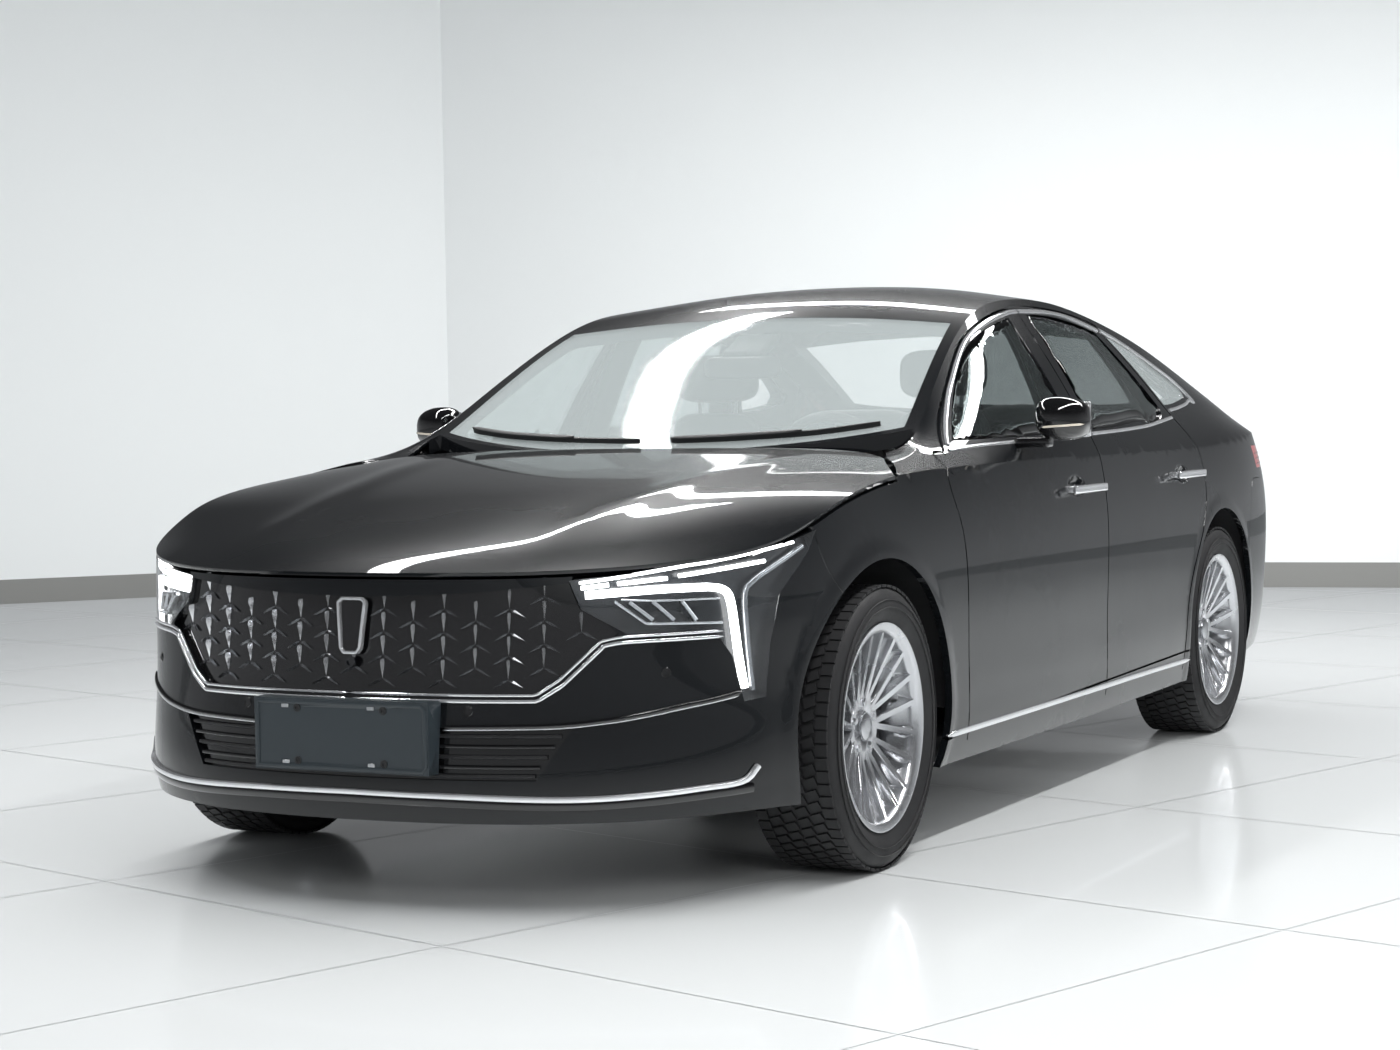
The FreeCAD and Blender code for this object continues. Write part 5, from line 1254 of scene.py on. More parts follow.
class Sides:
    """Glass, chrome surround, mirrors, handles and sill trim."""

    TOP_LINE = {"front": [(-842, 967), (-700, 1044), (-560, 1121), (-330, 1235), (-140, 1288), (66, 1321),
                          (166, 1329)],
                "rear": [(184, 1330), (420, 1333), (600, 1326), (760, 1306), (872, 1286)],
                "quarter": [(902, 1288), (1049, 1252), (1219, 1196), (1385, 1134), (1450, 1096), (1496, 1062)]}
    LOW_LINE = {"front": [(-868, 953), (-700, 960), (-400, 966), (-100, 970), (148, 973)],
                "rear": [(172, 976), (500, 982), (760, 990), (950, 1002), (1092, 1012)],
                "quarter": [(1112, 1034), (1230, 1041), (1360, 1052), (1440, 1064), (1494, 1058)]}
    HANDLES = {"front": (-208, 60, 830), "rear": (775, 1050, 840)}
    MIRROR_BACK = 0.058

    def build(self) -> None:
        """Make both sides."""
        Panel("fixed_windows", (LINES.top, LINES.upper), CLEAR, CLEAR, 0.06, 0.0045, 9.0).build()
        for hand, side in SIDES:
            for end in ("front", "rear"):
                dress(f"door_{end}_glass_{hand}", TINTED, 60.0)
                self.handle(end, hand, side)
            self.surround(hand, side)
            self.mirror(hand, side)
            self.sill(hand, side)

    def surround(self, hand: str, side: float) -> None:
        """The chrome line round the windows, cut where the doors part."""
        for part in ("front", "rear", "quarter"):
            body = "body" if part == "quarter" else f"door_{part}_{hand}"
            for name, lines, width in (("top", self.TOP_LINE, 0.0135), ("belt", self.LOW_LINE, 0.0105)):
                line = side_line(LINES.upper, lines[part], side, 0.018)
                lay_strip(f"window_{name}_{part}_{hand}", line, width, 0.0042, CHROME, body)

    def handle(self, end: str, hand: str, side: float) -> None:
        """A rounded chrome bar on two feet in front of its recess."""
        first, last, height = self.HANDLES[end]
        parts = [block("bar", (914, first, height - 11), (928, last, height + 11), 5.5, 3)]
        for low, high in ((first + 6, first + 40), (last - 40, last - 6)):
            parts.append(block("foot", (880, low, height - 9), (918, high, height + 9), 4.0, 2))
        mesh = on_side(joined(parts, f"handle_{end}_{hand}"), side)
        nodes = (f"door_rear_handle_{hand}",) if end == "rear" else ()
        new_piece(f"handle_{end}_{hand}", mesh, [CHROME], f"door_{end}_{hand}", *nodes)

    def mirror(self, hand: str, side: float) -> None:
        """Gloss housing with its indicator line, the glass behind it and the foot."""
        body = f"door_front_{hand}"
        steps, sides = 16, 28

        def place(t: float, forward: float, up: float, drop: float, height: float) -> tuple:
            """A point of the housing, t being -1 at the door and +1 at the tip."""
            reach = 1.0 - 0.12 * max(t, 0)
            size = max(1e-3, 1 - abs(t) ** 2.8) ** (1 / 2.8) * reach
            across = min(forward * size, self.MIRROR_BACK) + 0.012 * t - 0.010 * (1 - reach)
            return (0.962 + 0.0665 * t) * side, -0.4135 + across, height + up * size + drop * t

        points = []
        for index in range(steps + 1):
            for corner in range(sides):
                a = 2 * math.pi * corner / sides
                forward, up = (math.copysign(abs(share) ** 0.72, share) * half
                               for share, half in ((math.cos(a), 0.073), (math.sin(a), 0.0585)))
                points.append(place(-1 + 2 * index / steps, forward, up, -0.004, 1.0250))
        housing = mesh_from("mirror_housing", np.array(points), ring_faces(steps + 1, sides), 50.0)
        foot = on_side(block("mirror_foot", (836, -462, 950), (934, -416, 976), 9.0, 3), side)
        new_piece(f"mirror_housing_{hand}", joined([housing, foot], "mirror_housing"), [GLOSS], body,
                  f"door_front_fittings_{hand}")
        glass = on_side(block("mirror_glass", (905, -357, 978), (1016, -353.5, 1068), 1.5, 2), side)
        new_piece(f"mirror_glass_{hand}", glass, [CHROME], body)
        line = [place(t, -0.0718, 0.0, 0.004, 1.0060) for t in np.linspace(-0.55, 0.93, 18)]
        normals = np.tile((0.0, -1.0, 0.0), (len(line), 1))
        lay_strip(f"mirror_indicator_{hand}", (np.array(line), normals), 0.0055, 0.0018, AMBER, body, taper=0.05)

    @staticmethod
    def sill(hand: str, side: float) -> None:
        """The bright strip along the sill."""
        line = side_line(LINES.lower, [(-1135, 268), (-600, 268), (0, 268), (500, 268), (925, 266)], side, 0.04)
        lay_strip(f"sill_strip_{hand}", line, 0.0150, 0.0050, CHROME, taper=0.01)


class Wheels:
    """Tyres with tread and rings on their walls, wheels with bare caps and lugs, and brake discs."""

    AXLES = {"front": -1.505, "rear": 1.295}
    CENTRE_X = 0.792
    HEIGHT = 0.330
    TREAD_DEPTH = 0.0065
    BLOCKS = 68
    RIBS = (-0.084, -0.052, -0.018, 0.018, 0.052, 0.084)

    def build(self) -> None:
        """Make the four wheels."""
        for end, y in self.AXLES.items():
            for hand, side in SIDES:
                body = f"wheel_{end}_{hand}"
                self.tyre(end, hand, side, body)
                self.rim(end, hand, side, y, body)
                self.brake(end, hand, side, y)

    def tyre(self, end: str, hand: str, side: float, body: str) -> None:
        """Rounded carcass with blocks of tread and low rings on its walls."""
        corners = np.array([vertex.co for vertex in frame["nodes"][f"tyre_{end}_{hand}"].data.vertices])
        low, high = corners[:, 0].min(), corners[:, 0].max()
        centre = np.array([(low + high) / 2, self.AXLES[end], self.HEIGHT])
        away = np.hypot(corners[:, 1] - centre[1], corners[:, 2] - centre[2])
        radius, bore, half = away.max(), away.min(), (high - low) / 2
        deep = radius - self.TREAD_DEPTH
        wall = [(-half + 0.021, bore + 0.002), (-half + 0.017, bore + 0.016), (-half + 0.004, bore + 0.038),
                (-half + 0.0025, bore + 0.060), (-half + 0.009, bore + 0.082), (-half + 0.020, deep - 0.002),
                (-half + 0.034, deep)]
        profile = wall + [(0.0, deep)] + [(-x, r) for x, r in reversed(wall)]
        profile += [(half - 0.03, bore), (-half + 0.03, bore)]
        carcass = self.lathe(f"tyre_{end}_{hand}", profile, centre, 72, 40.0, True)
        rings = []
        for outward in (-1, 1):
            for r, width in ((bore + 0.048, 0.0014), (bore + 0.066, 0.0014)):
                x = (half - 0.0022) * outward
                section = [(x, r - width), (x + 0.0018 * outward, r), (x, r + width), (x - 0.002 * outward, r)]
                rings.append(self.lathe("tyre_ring", section, centre, 72, 30.0, True))
        tyre = f"tyre_{end}_{hand}"
        new_piece(f"{tyre}_shape", joined([carcass] + rings, f"{tyre}_shape"), [RUBBER], body, tyre)
        frames, sizes = [], []
        for step in range(self.BLOCKS):
            angle = 2 * math.pi * step / self.BLOCKS
            for number, x in enumerate(self.RIBS):
                turn = angle + (0.5 * 2 * math.pi / self.BLOCKS if number % 2 else 0.0)
                edge = number in (0, len(self.RIBS) - 1)
                matrix = Matrix.Translation(Vector(centre)) @ Matrix.Rotation(turn, 4, "X")
                matrix = matrix @ Matrix.Translation((x, 0, deep - 0.001))
                frames.append(matrix @ Matrix.Rotation(0.0 if edge else 0.32, 4, "Z"))
                sizes.append((1.0, 0.92 if edge else 0.8, 1.0))
        reach = 0.9 * math.pi * radius / self.BLOCKS / MM
        unit = block("tread_block", (-14, -reach, 0), (14, reach, self.TREAD_DEPTH / MM - 0.4))
        tread = Repeater.lay(f"tread_{end}_{hand}", unit, frames, RUBBER, sizes)
        new_piece(tread.name, tread, [RUBBER], body)

    @staticmethod
    def lathe(name: str, profile: Sequence[tuple], centre: Array, sides: int, smooth: float,
              closed: bool = False) -> Mesh:
        """A turned shape about a wheel's axle from (x, radius) pairs."""
        angles = np.linspace(0, 2 * math.pi, sides, endpoint=False)
        points = [centre + (x, r * math.cos(a), r * math.sin(a)) for x, r in profile for a in angles]
        return mesh_from(name, np.array(points), ring_faces(len(profile), sides, closed), smooth)

    def rim(self, end: str, hand: str, side: float, y: float, body: str) -> None:
        """The silver wheel with a bare cap and five lugs."""
        dress(f"rim_{end}_{hand}", ALLOY, 30.0)
        centre = np.array([0.0, y, self.HEIGHT])
        deep = self.hub_face(f"rim_{end}_{hand}", y, side)

        def out(*pairs: tuple) -> list:
            """Places on the hub's face from (height over it, radius) pairs."""
            return [(side * (deep + rise), radius) for rise, radius in pairs]

        cap = self.lathe("cap", out((-0.004, 0.031), (0.004, 0.031), (0.0065, 0.027), (0.0075, 0.012),
                                    (0.0077, 0.0005)), centre, 36, 50.0)
        profile = out((0, 0.0345), (0.0035, 0.0335), (0.0035, 0.0318), (0, 0.0315))
        ring = self.lathe("cap_ring", profile, centre, 36, 30.0, True)
        new_piece(f"wheel_cap_{end}_{hand}", cap, [SATIN_METAL], body)
        new_piece(f"wheel_cap_ring_{end}_{hand}", ring, [DARK_CHROME], body)
        lugs = []
        for number in range(5):
            a = 2 * math.pi * number / 5 + math.pi / 2
            spot = centre + (0, 0.0572 * math.cos(a), 0.0572 * math.sin(a))
            profile = out((-0.012, 0.0095), (0.001, 0.0095), (0.003, 0.0075), (0.0034, 0.0005))
            lugs.append(self.lathe("lug", profile, spot, 6, 20.0))
        new_piece(f"wheel_lugs_{end}_{hand}", joined(lugs, "wheel_lugs"), [SATIN_METAL], body)

    def hub_face(self, node: str, y: float, side: float) -> float:
        """How far out the middle of a wheel's face lies."""
        found = [side * vertex.co.x for vertex in frame["nodes"][node].data.vertices
                 if math.hypot(vertex.co.y - y, vertex.co.z - self.HEIGHT) < 0.08]
        return max(found)

    def brake(self, end: str, hand: str, side: float, y: float) -> None:
        """The disc that turns behind the spokes."""
        centre = np.array([0.0, y, self.HEIGHT])
        section = [((self.CENTRE_X + out) * side, radius) for out, radius in (
            (-0.020, 0.085), (-0.020, 0.158), (0.002, 0.160), (0.004, 0.158), (0.004, 0.090), (0.014, 0.082),
            (0.014, 0.060), (-0.020, 0.060))]
        disc = self.lathe("disc", section, centre, 64, 30.0, True)
        new_piece(f"brake_disc_{end}_{hand}", disc, [DISC], f"wheel_{end}_{hand}")


def pad(name: str, low: Sequence[float], high: Sequence[float], power: float = 5.0, channels: int = 0,
        cuts: int = 11) -> Mesh:
    """A crowned closed pad between two corners in millimetres, with sewn channels across its length.

    Args:
        name: the mesh's name.
        low: its lowest corner.
        high: its highest corner.
        power: how square it is; higher is squarer.
        channels: number of sewn channels across its longer way.
        cuts: how finely it is divided.

    Returns:
        The pad's mesh.
    """
    shape = bmesh.new()
    bmesh.ops.create_cube(shape, size=2.0)
    bmesh.ops.subdivide_edges(shape, edges=shape.edges, cuts=cuts, use_grid_fill=True)
    low, high = np.array(low) * MM, np.array(high) * MM
    points = np.array([vertex.co for vertex in shape.verts])
    points /= (np.abs(points) ** power).sum(1)[:, None] ** (1 / power)
    half = (high - low) / 2
    if channels:
        across = int(np.argmax(half[1:])) + 1
        thin = int(np.argmin(half))
        share = (points[:, across] + 1) / 2 * (channels + 1)
        groove = np.exp(-((share - np.round(share)) / 0.055) ** 2) * (np.abs(points[:, across]) < 0.86)
        middle = np.clip(1.2 - np.abs(points[:, 0]), 0, 1)
        points[:, thin] *= 1 - 0.10 * groove * middle
    points = (low + high) / 2 + points * half
    for vertex, place in zip(shape.verts, points):
        vertex.co = place
    mesh = ready(shape, name)
    shade(mesh, None)
    mesh.polygons.foreach_set("use_smooth", [True] * len(mesh.polygons))
    return mesh


class Cabin:
    """Seats, dashboard, wheel, console, mirror and wipers."""

    SEAT_X = 370

    def build(self) -> None:
        """Furnish the cabin."""
        for hand, side in SIDES:
            self.front_seat(hand, side)
        self.bench()
        self.dashboard()
        self.steering_wheel()
        self.glass_fittings()

    @staticmethod
    def padded(name: str, mesh: Mesh, finish: Finish, *nodes: str) -> None:
        """A pad in the scene, riding on the body."""
        new_piece(name, mesh, [finish], "body", *nodes)

    def front_seat(self, hand: str, side: float) -> None:
        """One front seat: cushion, back, bolsters and head restraint."""
        x = self.SEAT_X * side
        nodes = ("seats",) if side > 0 else ()
        self.padded(f"seat_cushion_{hand}", pad("cushion", (x - 160, -326, 372), (x + 160, 186, 468), 5, 5, 15),
                    LEATHER_LIGHT, *nodes)
        self.padded(f"seat_back_{hand}", pad("back", (x - 150, 164, 462), (x + 150, 284, 1052), 5, 7, 17),
                    LEATHER_LIGHT)
        for name, sign in (("inner", -side), ("outer", side)):
            low, high = sorted((x + sign * 148, x + sign * 232))
            mesh = pad("side", (low, -322, 360), (high, 180, 480), 3.6)
            self.padded(f"cushion_side_{name}_{hand}", mesh, LEATHER)
            mesh = pad("side", (low, 150, 470), (high, 284, 1000), 3.6)
            self.padded(f"back_side_{name}_{hand}", mesh, LEATHER)
        mesh = pad("head", (x - 132, 194, 1084), (x + 132, 288, 1228), 3.8)
        self.padded(f"head_restraint_{hand}", mesh, LEATHER)
        posts = [block("post", (x + shift - 6, 236, 1040), (x + shift + 6, 248, 1100), 4, 2)
                 for shift in (-60, 60)]
        lay_parts(f"head_posts_{hand}", posts, SATIN_METAL)
        base = [block("base", (x - 215, -290, 342), (x + 215, 170, 392), 14, 3),
                block("shell", (x - 200, 262, 470), (x + 200, 289, 1010), 12, 3)]
        base += [block("rail", (x + shift - 18, -255, 262), (x + shift + 18, 115, 344), 4, 1)
                 for shift in (-170, 170)]
        lay_parts(f"seat_base_{hand}", base, TRIM)

    def bench(self) -> None:
        """The rear bench in three places."""
        for name, low, high in (("left", 92, 552), ("middle", -86, 86), ("right", -552, -92)):
            mesh = pad("bench", (low, 744, 432), (high, 1180, 556), 5, 4, 15)
            self.padded(f"bench_{name}", mesh, LEATHER_LIGHT)
            mesh = pad("bench_back", (low, 1154, 520), (high, 1286, 1052), 5, 6, 15)
            self.padded(f"bench_back_{name}", mesh, LEATHER_LIGHT if name != "middle" else LEATHER)
        base = [block("bench_base", (-550, 752, 424), (550, 1280, 470), 10, 2),
                block("bench_shell", (-550, 1262, 430), (550, 1289, 1030), 10, 2)]
        lay_parts("bench_base", base, LEATHER)

    @staticmethod
    def dashboard() -> None:
        """Soft dash with screens, vents, trim line and the console with its lever."""
        top = pad("dash_top", (-688, -1036, 700), (688, -712, 884), 9, 0, 17)
        new_piece("dash_top", top, [DASH], "body", "dashboard")
        lower = [block("dash_lower", (-650, -1010, 642), (650, -745, 760), 20, 3),
                 block("glove_box", (-600, -752, 655), (-180, -738, 745), 8, 2)]
        lay_parts("dash_lower", lower, TRIM)
        screens = [block("cluster", (238, -724, 792), (502, -708, 874), 5, 2),
                   block("centre_screen", (-152, -722, 768), (152, -706, 880), 5, 2)]
        lay_parts("dash_screens", screens, SCREEN)
        trim = [block("trim_line", (-640, -718, 752), (640, -708, 760), 2, 1)]
        vents = []
        for low, high in ((-640, -480), (-130, -10), (10, 130), (520, 640)):
            base = 766 if abs(low + high) > 300 else 700
            trim.append(block("vent_frame", (low, -716, base - 3), (high, -710, base + 1), 1, 1))
            for row in range(4):
                foot = base + 5 + row * 10
                vents.append(block("vent_slat", (low + 4, -722, foot), (high - 4, -711, foot + 3)))
        lay_parts("dash_trim", trim, SATIN_METAL)
        lay_parts("dash_vents", vents, GLOSS)
        console = [block("console", (-106, -740, 394), (106, -120, 552), 16, 3),
                   block("console_rise", (-100, -752, 540), (100, -690, 690), 14, 3)]
        lay_parts("console", console, GLOSS)
        new_piece("console_rest", pad("console_rest", (-104, -112, 400), (104, 148, 559), 6), [LEATHER], "body")
        foot = block("gear_foot", (-28, -470, 548), (28, -400, 557), 6, 2)
        new_piece("gear_foot", foot, [SATIN_METAL], "body")
        lever = pad("gear_lever", (-22, -462, 556), (22, -412, 604), 3.2, 0, 7)
        new_piece("gear_lever", lever, [LEATHER], "body")

    @staticmethod
    def steering_wheel() -> None:
        """Leather rim, padded hub with three spokes, and the column cover down to the dashboard."""
        turn = Matrix.Translation((0.370, -0.540, 0.880)) @ Matrix.Rotation(math.radians(-65.0), 4, "X")
        reach, thick, rounds, sides = 0.175, 0.015, 72, 14
        points = []
        for index in range(rounds):
            a = 2 * math.pi * index / rounds
            for corner in range(sides):
                b = 2 * math.pi * corner / sides
                r = reach + thick * math.cos(b)
                points.append((r * math.cos(a), r * math.sin(a), thick * 1.08 * math.sin(b)))
        rim = mesh_from("wheel_rim", np.array(points), ring_faces(rounds, sides, True), 60.0)
        new_piece("steering_wheel_rim", placed(rim, turn), [LEATHER], "body", "steering_wheel")
        hub = pad("hub", (-68, -58, -30), (68, 56, 8), 3.4, 0, 9)
        new_piece("steering_wheel_hub", placed(hub, turn), [DASH], "body")
        spokes = [block("spoke", low, high, 5, 2) for low, high in (
            ((-168, -20, -14), (-50, 22, -2)), ((50, -20, -14), (168, 22, -2)),
            ((-24, -168, -14), (24, -48, -2)))]
        lay_parts("steering_wheel_spokes", spokes, GLOSS, turn)
        column = [block("column", (-32, -34, -178), (32, 30, -24), 12, 3)]
        column += [block("stalk", (low, 20, -62), (low + 160, 32, -50), 5, 2) for low in (-190, 30)]
        lay_parts("steering_column", column, TRIM, turn)

    @staticmethod
    def glass_fittings() -> None:
        """Inner mirror, sensor housing behind the windshield, and the wipers at its foot."""
        spots = np.array([(0.0, -0.318, 0.0), (0.0, -0.390, 0.0)])
        places, normals = on_sheet(LINES.top, spots, (0, 1), 1.0, 0.034)
        matrix = frame_at(places[0], normals[0], (0, 1, 0))
        housing = block("sensor_housing", (-62, 4, -66), (62, 30, 62), 10, 3)
        new_piece("sensor_housing", placed(housing, matrix), [TRIM], "body")
        _, y, z = places[1] / MM
        glass = pad("inner_mirror", (-118, y + 8, z - 74), (118, y + 32, z - 8), 4.5, 0, 9)
        new_piece("inner_mirror", glass, [GLOSS], "body")
        arm = block("mirror_arm", (-10, y + 14, z - 20), (10, y + 44, z + 6), 4)
        new_piece("inner_mirror_arm", arm, [TRIM], "body")
        for name, line in (("right", [(-590, -836), (-440, -880), (-250, -908), (-30, -922)]),
                           ("left", [(60, -922), (250, -908), (440, -880), (612, -826)])):
            flat = dense(np.array(line, float) * MM, 0.02)
            spots, facing = on_sheet(LINES.top, np.c_[flat, np.zeros(len(flat))], (0, 1))
            blade = Strip(f"wiper_blade_{name}", spots + facing * 0.001, facing, 0.009, 0.014, 0.0, 0.6,
                          taper=0.04)
            spots, facing = (part[:len(flat) * 2 // 3] for part in (spots, facing))
            arm = Strip(f"wiper_arm_{name}", spots + facing * 0.012, facing, 0.015, 0.007, 0.0, 0.3, taper=0.05)
            lay_parts(f"wiper_{name}", [blade.mesh(), arm.mesh()], TRIM)


class RearEnd:
    """Tail lamps, lid trim, bumper details and exhaust tips."""

    def build(self) -> None:
        """Make everything at the back."""
        Panel("tail_lamps", (LINES.lower,), RED_LENS, RED_DARK, 0.025).build()
        for hand, side in SIDES:
            self.lamp_ribs(hand, side)
            self.bumper_side(hand, side)
        self.across()

    @staticmethod
    def lamp_ribs(hand: str, side: float) -> None:
        """Dark lines that part each tail lamp into bars."""
        for number, height in enumerate((848, 866, 884)):
            points = [(606, 2312, height), (700, 2250, height), (790, 2150, height), (845, 2010, height),
                      (868, 1905, height)]
            lay_strip(f"tail_rib_{number}_{hand}", skin_line(points, 0.02, side=side), 0.0045, 0.0012, RED_DARK,
                      taper=0.02)

    @staticmethod
    def bumper_side(hand: str, side: float) -> None:
        """Reflector, sensors and one exhaust tip."""
        reflector = back_line([(520 * side, 380), (660 * side, 392)])
        lay_strip(f"rear_reflector_{hand}", reflector, 0.022, 0.0035, RED_DARK, taper=0.05)
        for number, (x, z) in enumerate(((280, 470), (650, 480))):
            lay_button(button(f"rear_sensor_{number}_{hand}", 0.011, 0.0022, 0.0085),
                       back_line([(x * side, z), (x * side, z)], 1.0, 0.0005, False), GLOSS)
        loop = [(400, 232), (530, 238), (540, 246), (536, 282), (526, 288), (404, 284), (394, 276), (392, 240),
                (400, 232)]
        places, normals = back_line([(x * side, z) for x, z in loop], 0.008, smooth=False)
        line = (places[:-1], normals[:-1])
        lay_strip(f"exhaust_tip_{hand}", line, 0.008, 0.007, CHROME, sink=0.02, closed=True)

    @staticmethod
    def across() -> None:
        """Light bar and bright line across the lid, and the lower trim with its bright line."""
        for name, reach, end, middle, width, rise, finish, body, taper in (
                ("lid_light_bar", 588, 868, 868, 0.026, 0.0022, RED_LENS, "trunk_lid", 0.0),
                ("lid_bright_line", 588, 846, 846, 0.005, 0.0035, CHROME, "trunk_lid", 0.0),
                ("rear_lower_trim", 620, 262, 258, 0.070, 0.002, TRIM, "body", 0.0),
                ("rear_lower_line", 640, 306, 302, 0.007, 0.004, CHROME, "body", 0.02)):
            line = back_line([(-reach, end), (-300, middle), (0, middle), (300, middle), (reach, end)])
            lay_strip(name, line, width, rise, finish, body, taper=taper)


@dataclass
class Showroom:
    """A pale tiled floor, plain walls, soft lamps and the camera of the photograph."""

    floor_half: float = 14.0
    tile: float = 1.2
    joint: float = 0.004
    wall_corner: tuple = (-5.6, 7.2, 0.0)
    camera_place: tuple = (3.3126, -7.3299, 1.0789)
    yaw: float = 26.35
    pitch: float = 2.51
    roll: float = -0.99
    focal_pixels: float = 2750.02

    def build(self) -> None:
        """Make the room, its lamps and the camera."""
        scene = bpy.context.scene
        scene.view_settings.view_transform = "Standard"
        self.floor()
        self.walls()
        self.lamps()
        self.camera()
        world = bpy.data.worlds.new("room_light")
        scene.world = world
        world.use_nodes = True
        self.daylight(world.node_tree)

    @staticmethod
    def daylight(tree: NodeTree) -> None:
        """Even pale light, which mirrors show as a dim room with a dark ceiling."""
        ground = tree.nodes["Background"]
        ground.inputs["Color"].default_value = (0.94, 0.97, 1.0, 1.0)
        path, place = tree.nodes.new("ShaderNodeLightPath"), tree.nodes.new("ShaderNodeTexCoord")
        parts = tree.nodes.new("ShaderNodeSeparateXYZ")
        ramp = add_node(tree, "ShaderNodeMapRange", From_Min=0.0, From_Max=0.3, To_Min=0.42, To_Max=0.045)
        mix = add_node(tree, "ShaderNodeMix", A=0.5)
        tree.links.new(place.outputs["Generated"], parts.inputs[0])
        tree.links.new(parts.outputs["Z"], ramp.inputs["Value"])
        tree.links.new(path.outputs["Is Glossy Ray"], mix.inputs["Factor"])
        tree.links.new(ramp.outputs["Result"], mix.inputs["B"])
        tree.links.new(mix.outputs["Result"], ground.inputs["Strength"])

    @staticmethod
    def pale(name: str, color: tuple, roughness: float, coat: float = 0.0) -> Material:
        """A plain pale surface with faint unevenness."""
        material = bpy.data.materials.new(name)
        material.use_nodes = True
        tree = material.node_tree
        shader = tree.nodes["Principled BSDF"]
        noise = add_node(tree, "ShaderNodeTexNoise", Scale=0.6)
        drift(tree, shader, tuple(channel * 0.96 for channel in color), color, noise.outputs["Fac"])
        for key, value in (("Roughness", roughness), ("Coat Weight", coat), ("Coat Roughness", 0.04)):
            shader.inputs[key].default_value = value
        return material

    @staticmethod
    def stand(mesh: Mesh, material: Material, mirrored_too: bool = True) -> None:
        """Put a mesh in the scene as part of the room, shown in mirrors or not."""
        mesh.materials.append(material)
        thing = in_scene(mesh.name, mesh)
        thing.visible_glossy = mirrored_too

    def floor(self) -> None:
        """Polished tiles with thin joints."""
        tiles = self.pale("polished_tile", (0.80, 0.82, 0.82), 0.16, 0.35)
        joints = self.pale("tile_joint", (0.52, 0.54, 0.54), 0.5)
        count = int(self.floor_half / self.tile)
        angle = math.radians(-18.0)
        turn = np.array([[math.cos(angle), -math.sin(angle)], [math.sin(angle), math.cos(angle)]])
        points = []
        for row in range(-count, count):
            for column in range(-count, count):
                low = np.array([row, column]) * self.tile + self.joint / 2
                high = low + self.tile - self.joint
                for spot in (low, (high[0], low[1]), high, (low[0], high[1])):
                    points.append((*(turn @ spot), 0.0))
        faces = np.arange(len(points)).reshape(-1, 4)
        self.stand(mesh_from("floor_tiles", np.array(points), faces, None), tiles)
        under = np.array([(x, y, -0.001) for x, y in ((-20, -20), (20, -20), (20, 20), (-20, 20))])
        self.stand(mesh_from("floor_joints", under, [(0, 1, 2, 3)], None), joints)

    @staticmethod
    def one_sided(material: Material) -> Material:
        """The material, clear where it is seen from behind."""
        tree = material.node_tree
        side, clear = tree.nodes.new("ShaderNodeNewGeometry"), tree.nodes.new("ShaderNodeBsdfTransparent")
        mix = tree.nodes.new("ShaderNodeMixShader")
        tree.links.new(side.outputs["Backfacing"], mix.inputs[0])
        tree.links.new(tree.nodes["Principled BSDF"].outputs["BSDF"], mix.inputs[1])
        tree.links.new(clear.outputs["BSDF"], mix.inputs[2])
        tree.links.new(mix.outputs["Shader"], tree.nodes["Material Output"].inputs["Surface"])
        return material

    def walls(self) -> None:
        """Two pale walls that meet behind the car, with a dark skirting."""
        pale = self.one_sided(self.pale("pale_wall", (0.86, 0.88, 0.88), 0.7))
        skirting = self.one_sided(self.pale("skirting", (0.25, 0.25, 0.24), 0.5))
        angle = math.radians(8.0)
        along = np.array([math.cos(angle), math.sin(angle), 0.0])
        corner = np.array(self.wall_corner)
        ends = [corner + along * 24, corner, corner + np.array([-0.62, -0.78, 0.0]) * 24]
        for index, (first, last) in enumerate(zip(ends, ends[1:])):
            inward = np.cross(last - first, (0, 0, 1.0))
            inward = inward / np.linalg.norm(inward) * (-1 if inward @ corner > 0 else 1)
            for label, material, high, step in (("wall", pale, 8.0, 0.0), ("skirting", skirting, 0.14, 0.015)):
                points = [end + inward * step + (0, 0, height)
                          for end, height in ((first, 0.0), (last, 0.0), (last, high), (first, high))]
                mesh = mesh_from(f"{label}_{index}", np.array(points), [(0, 1, 2, 3)], None)
                if mesh.polygons[0].normal.dot(Vector(inward)) < 0:
                    mesh.flip_normals()
                self.stand(mesh, material, False)

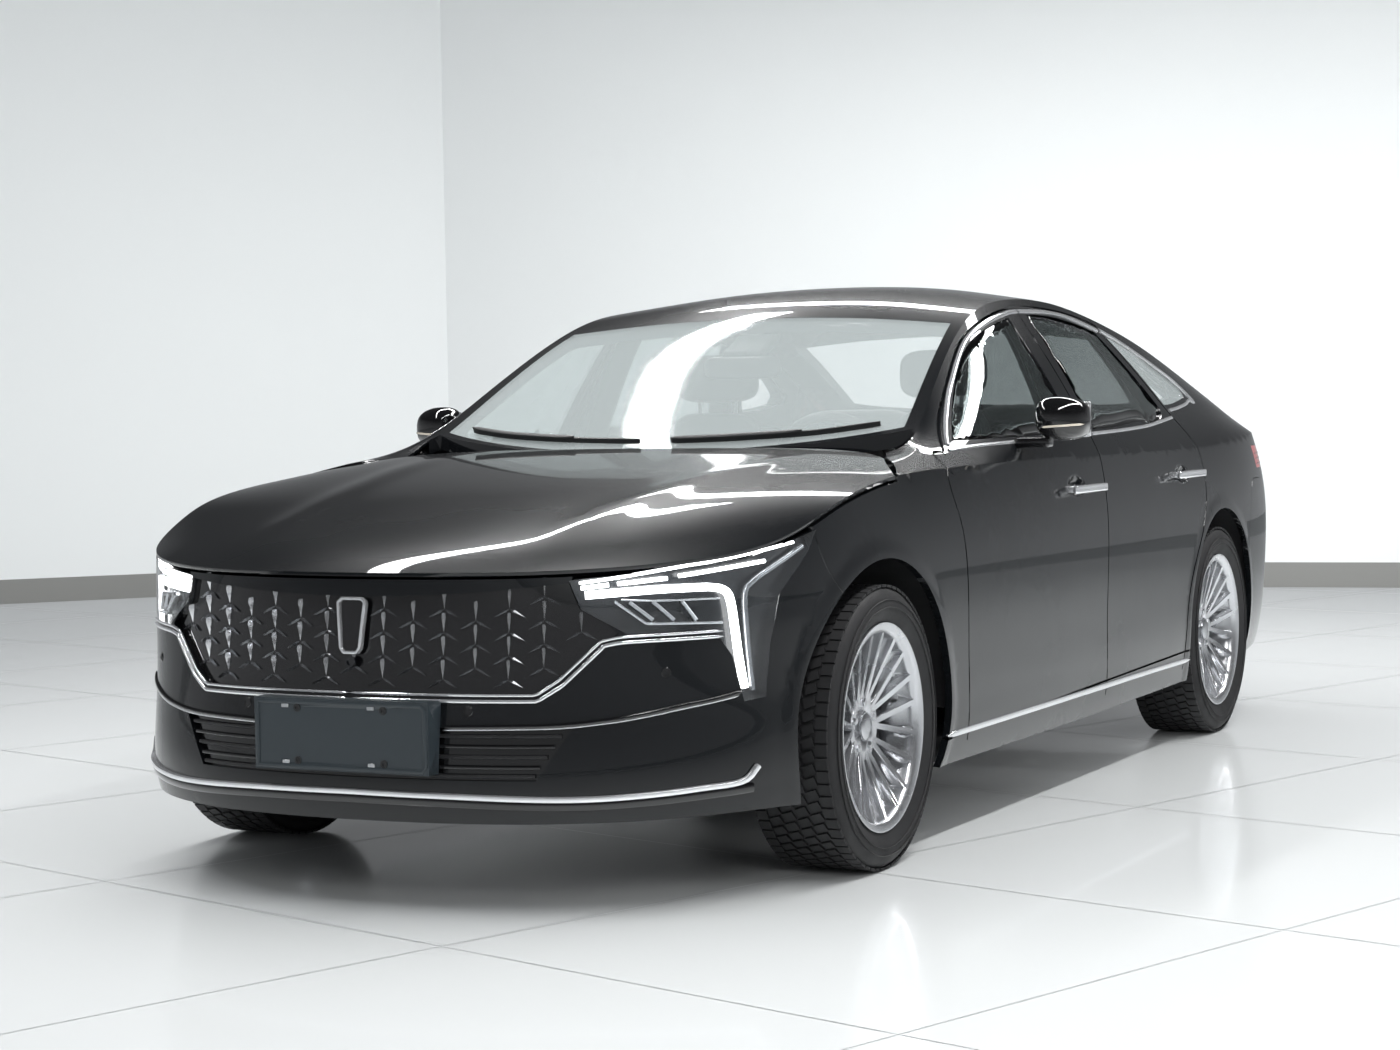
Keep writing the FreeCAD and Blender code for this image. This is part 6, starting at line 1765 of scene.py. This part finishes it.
    @staticmethod
    def lamps() -> None:
        """Long ceiling panels and a wide soft light from the camera's side."""
        for name, place, aim, size, power in (
                ("ceiling_left", (-1.9, -0.6, 3.9), (-1.9, -0.6, 0), (0.22, 7.5), 230.0),
                ("ceiling_right", (2.3, -0.6, 3.9), (2.3, -0.6, 0), (0.22, 7.5), 230.0),
                ("ceiling_far", (0.2, 4.4, 3.9), (0.2, 4.0, 0), (6.0, 0.6), 200.0),
                ("front_soft", (4.6, -7.6, 3.6), (0.4, -0.8, 0.5), (3.6, 2.2), 170.0),
                ("side_soft", (7.5, 0.5, 3.0), (0.5, 0.2, 0.5), (5.5, 2.0), 150.0)):
            light = bpy.data.lights.new(name, "AREA")
            light.shape = "RECTANGLE"
            light.size, light.size_y = size
            light.energy = power
            thing = in_scene(name, light)
            thing.location = place
            thing.rotation_euler = (Vector(aim) - Vector(place)).to_track_quat("-Z", "Y").to_euler()
            thing.visible_glossy = name.startswith("ceiling")

    def camera(self) -> None:
        """The camera, from the place and angle solved from the photograph."""
        camera = bpy.data.cameras.new("photo_camera")
        camera.sensor_fit = "HORIZONTAL"
        camera.sensor_width = 36.0
        camera.lens = self.focal_pixels / PHOTO_SIZE[0] * camera.sensor_width
        thing = in_scene("photo_camera", camera)
        yaw, pitch, roll = (math.radians(angle) for angle in (self.yaw, self.pitch, self.roll))
        forward = Vector((-math.sin(yaw) * math.cos(pitch), math.cos(yaw) * math.cos(pitch), -math.sin(pitch)))
        level = Vector((math.cos(yaw), math.sin(yaw), 0.0))
        upright = level.cross(forward)
        right = math.cos(roll) * level + math.sin(roll) * upright
        up = -math.sin(roll) * level + math.cos(roll) * upright
        turn = Matrix((right, up, -forward)).transposed().to_4x4()
        thing.matrix_world = Matrix.Translation(self.camera_place) @ turn
        bpy.context.scene.camera = thing


def main() -> None:
    """Build every piece of the car and its surroundings."""
    logging.basicConfig(level=logging.INFO, format="%(message)s")
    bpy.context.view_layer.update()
    for group in (Bodywork(), FrontEnd(), Sides(), Wheels(), Cabin(), RearEnd()):
        group.build()
    plain_nodes()
    Showroom().build()


def plain_nodes() -> None:
    """Give every CAD node that no piece has replaced its own finish."""
    for finish, nodes in ((TRIM, ("wheel_liners", "underbody")),
                          (STEEL, ("door_frames", "floor", "front_structure")),
                          (CAST, ("engine_block", "front_suspension", "rear_axle", "knuckle_left",
                                  "knuckle_right"))):
        for node in nodes:
            dress(node, finish)


if __name__ == "__main__":
    main()
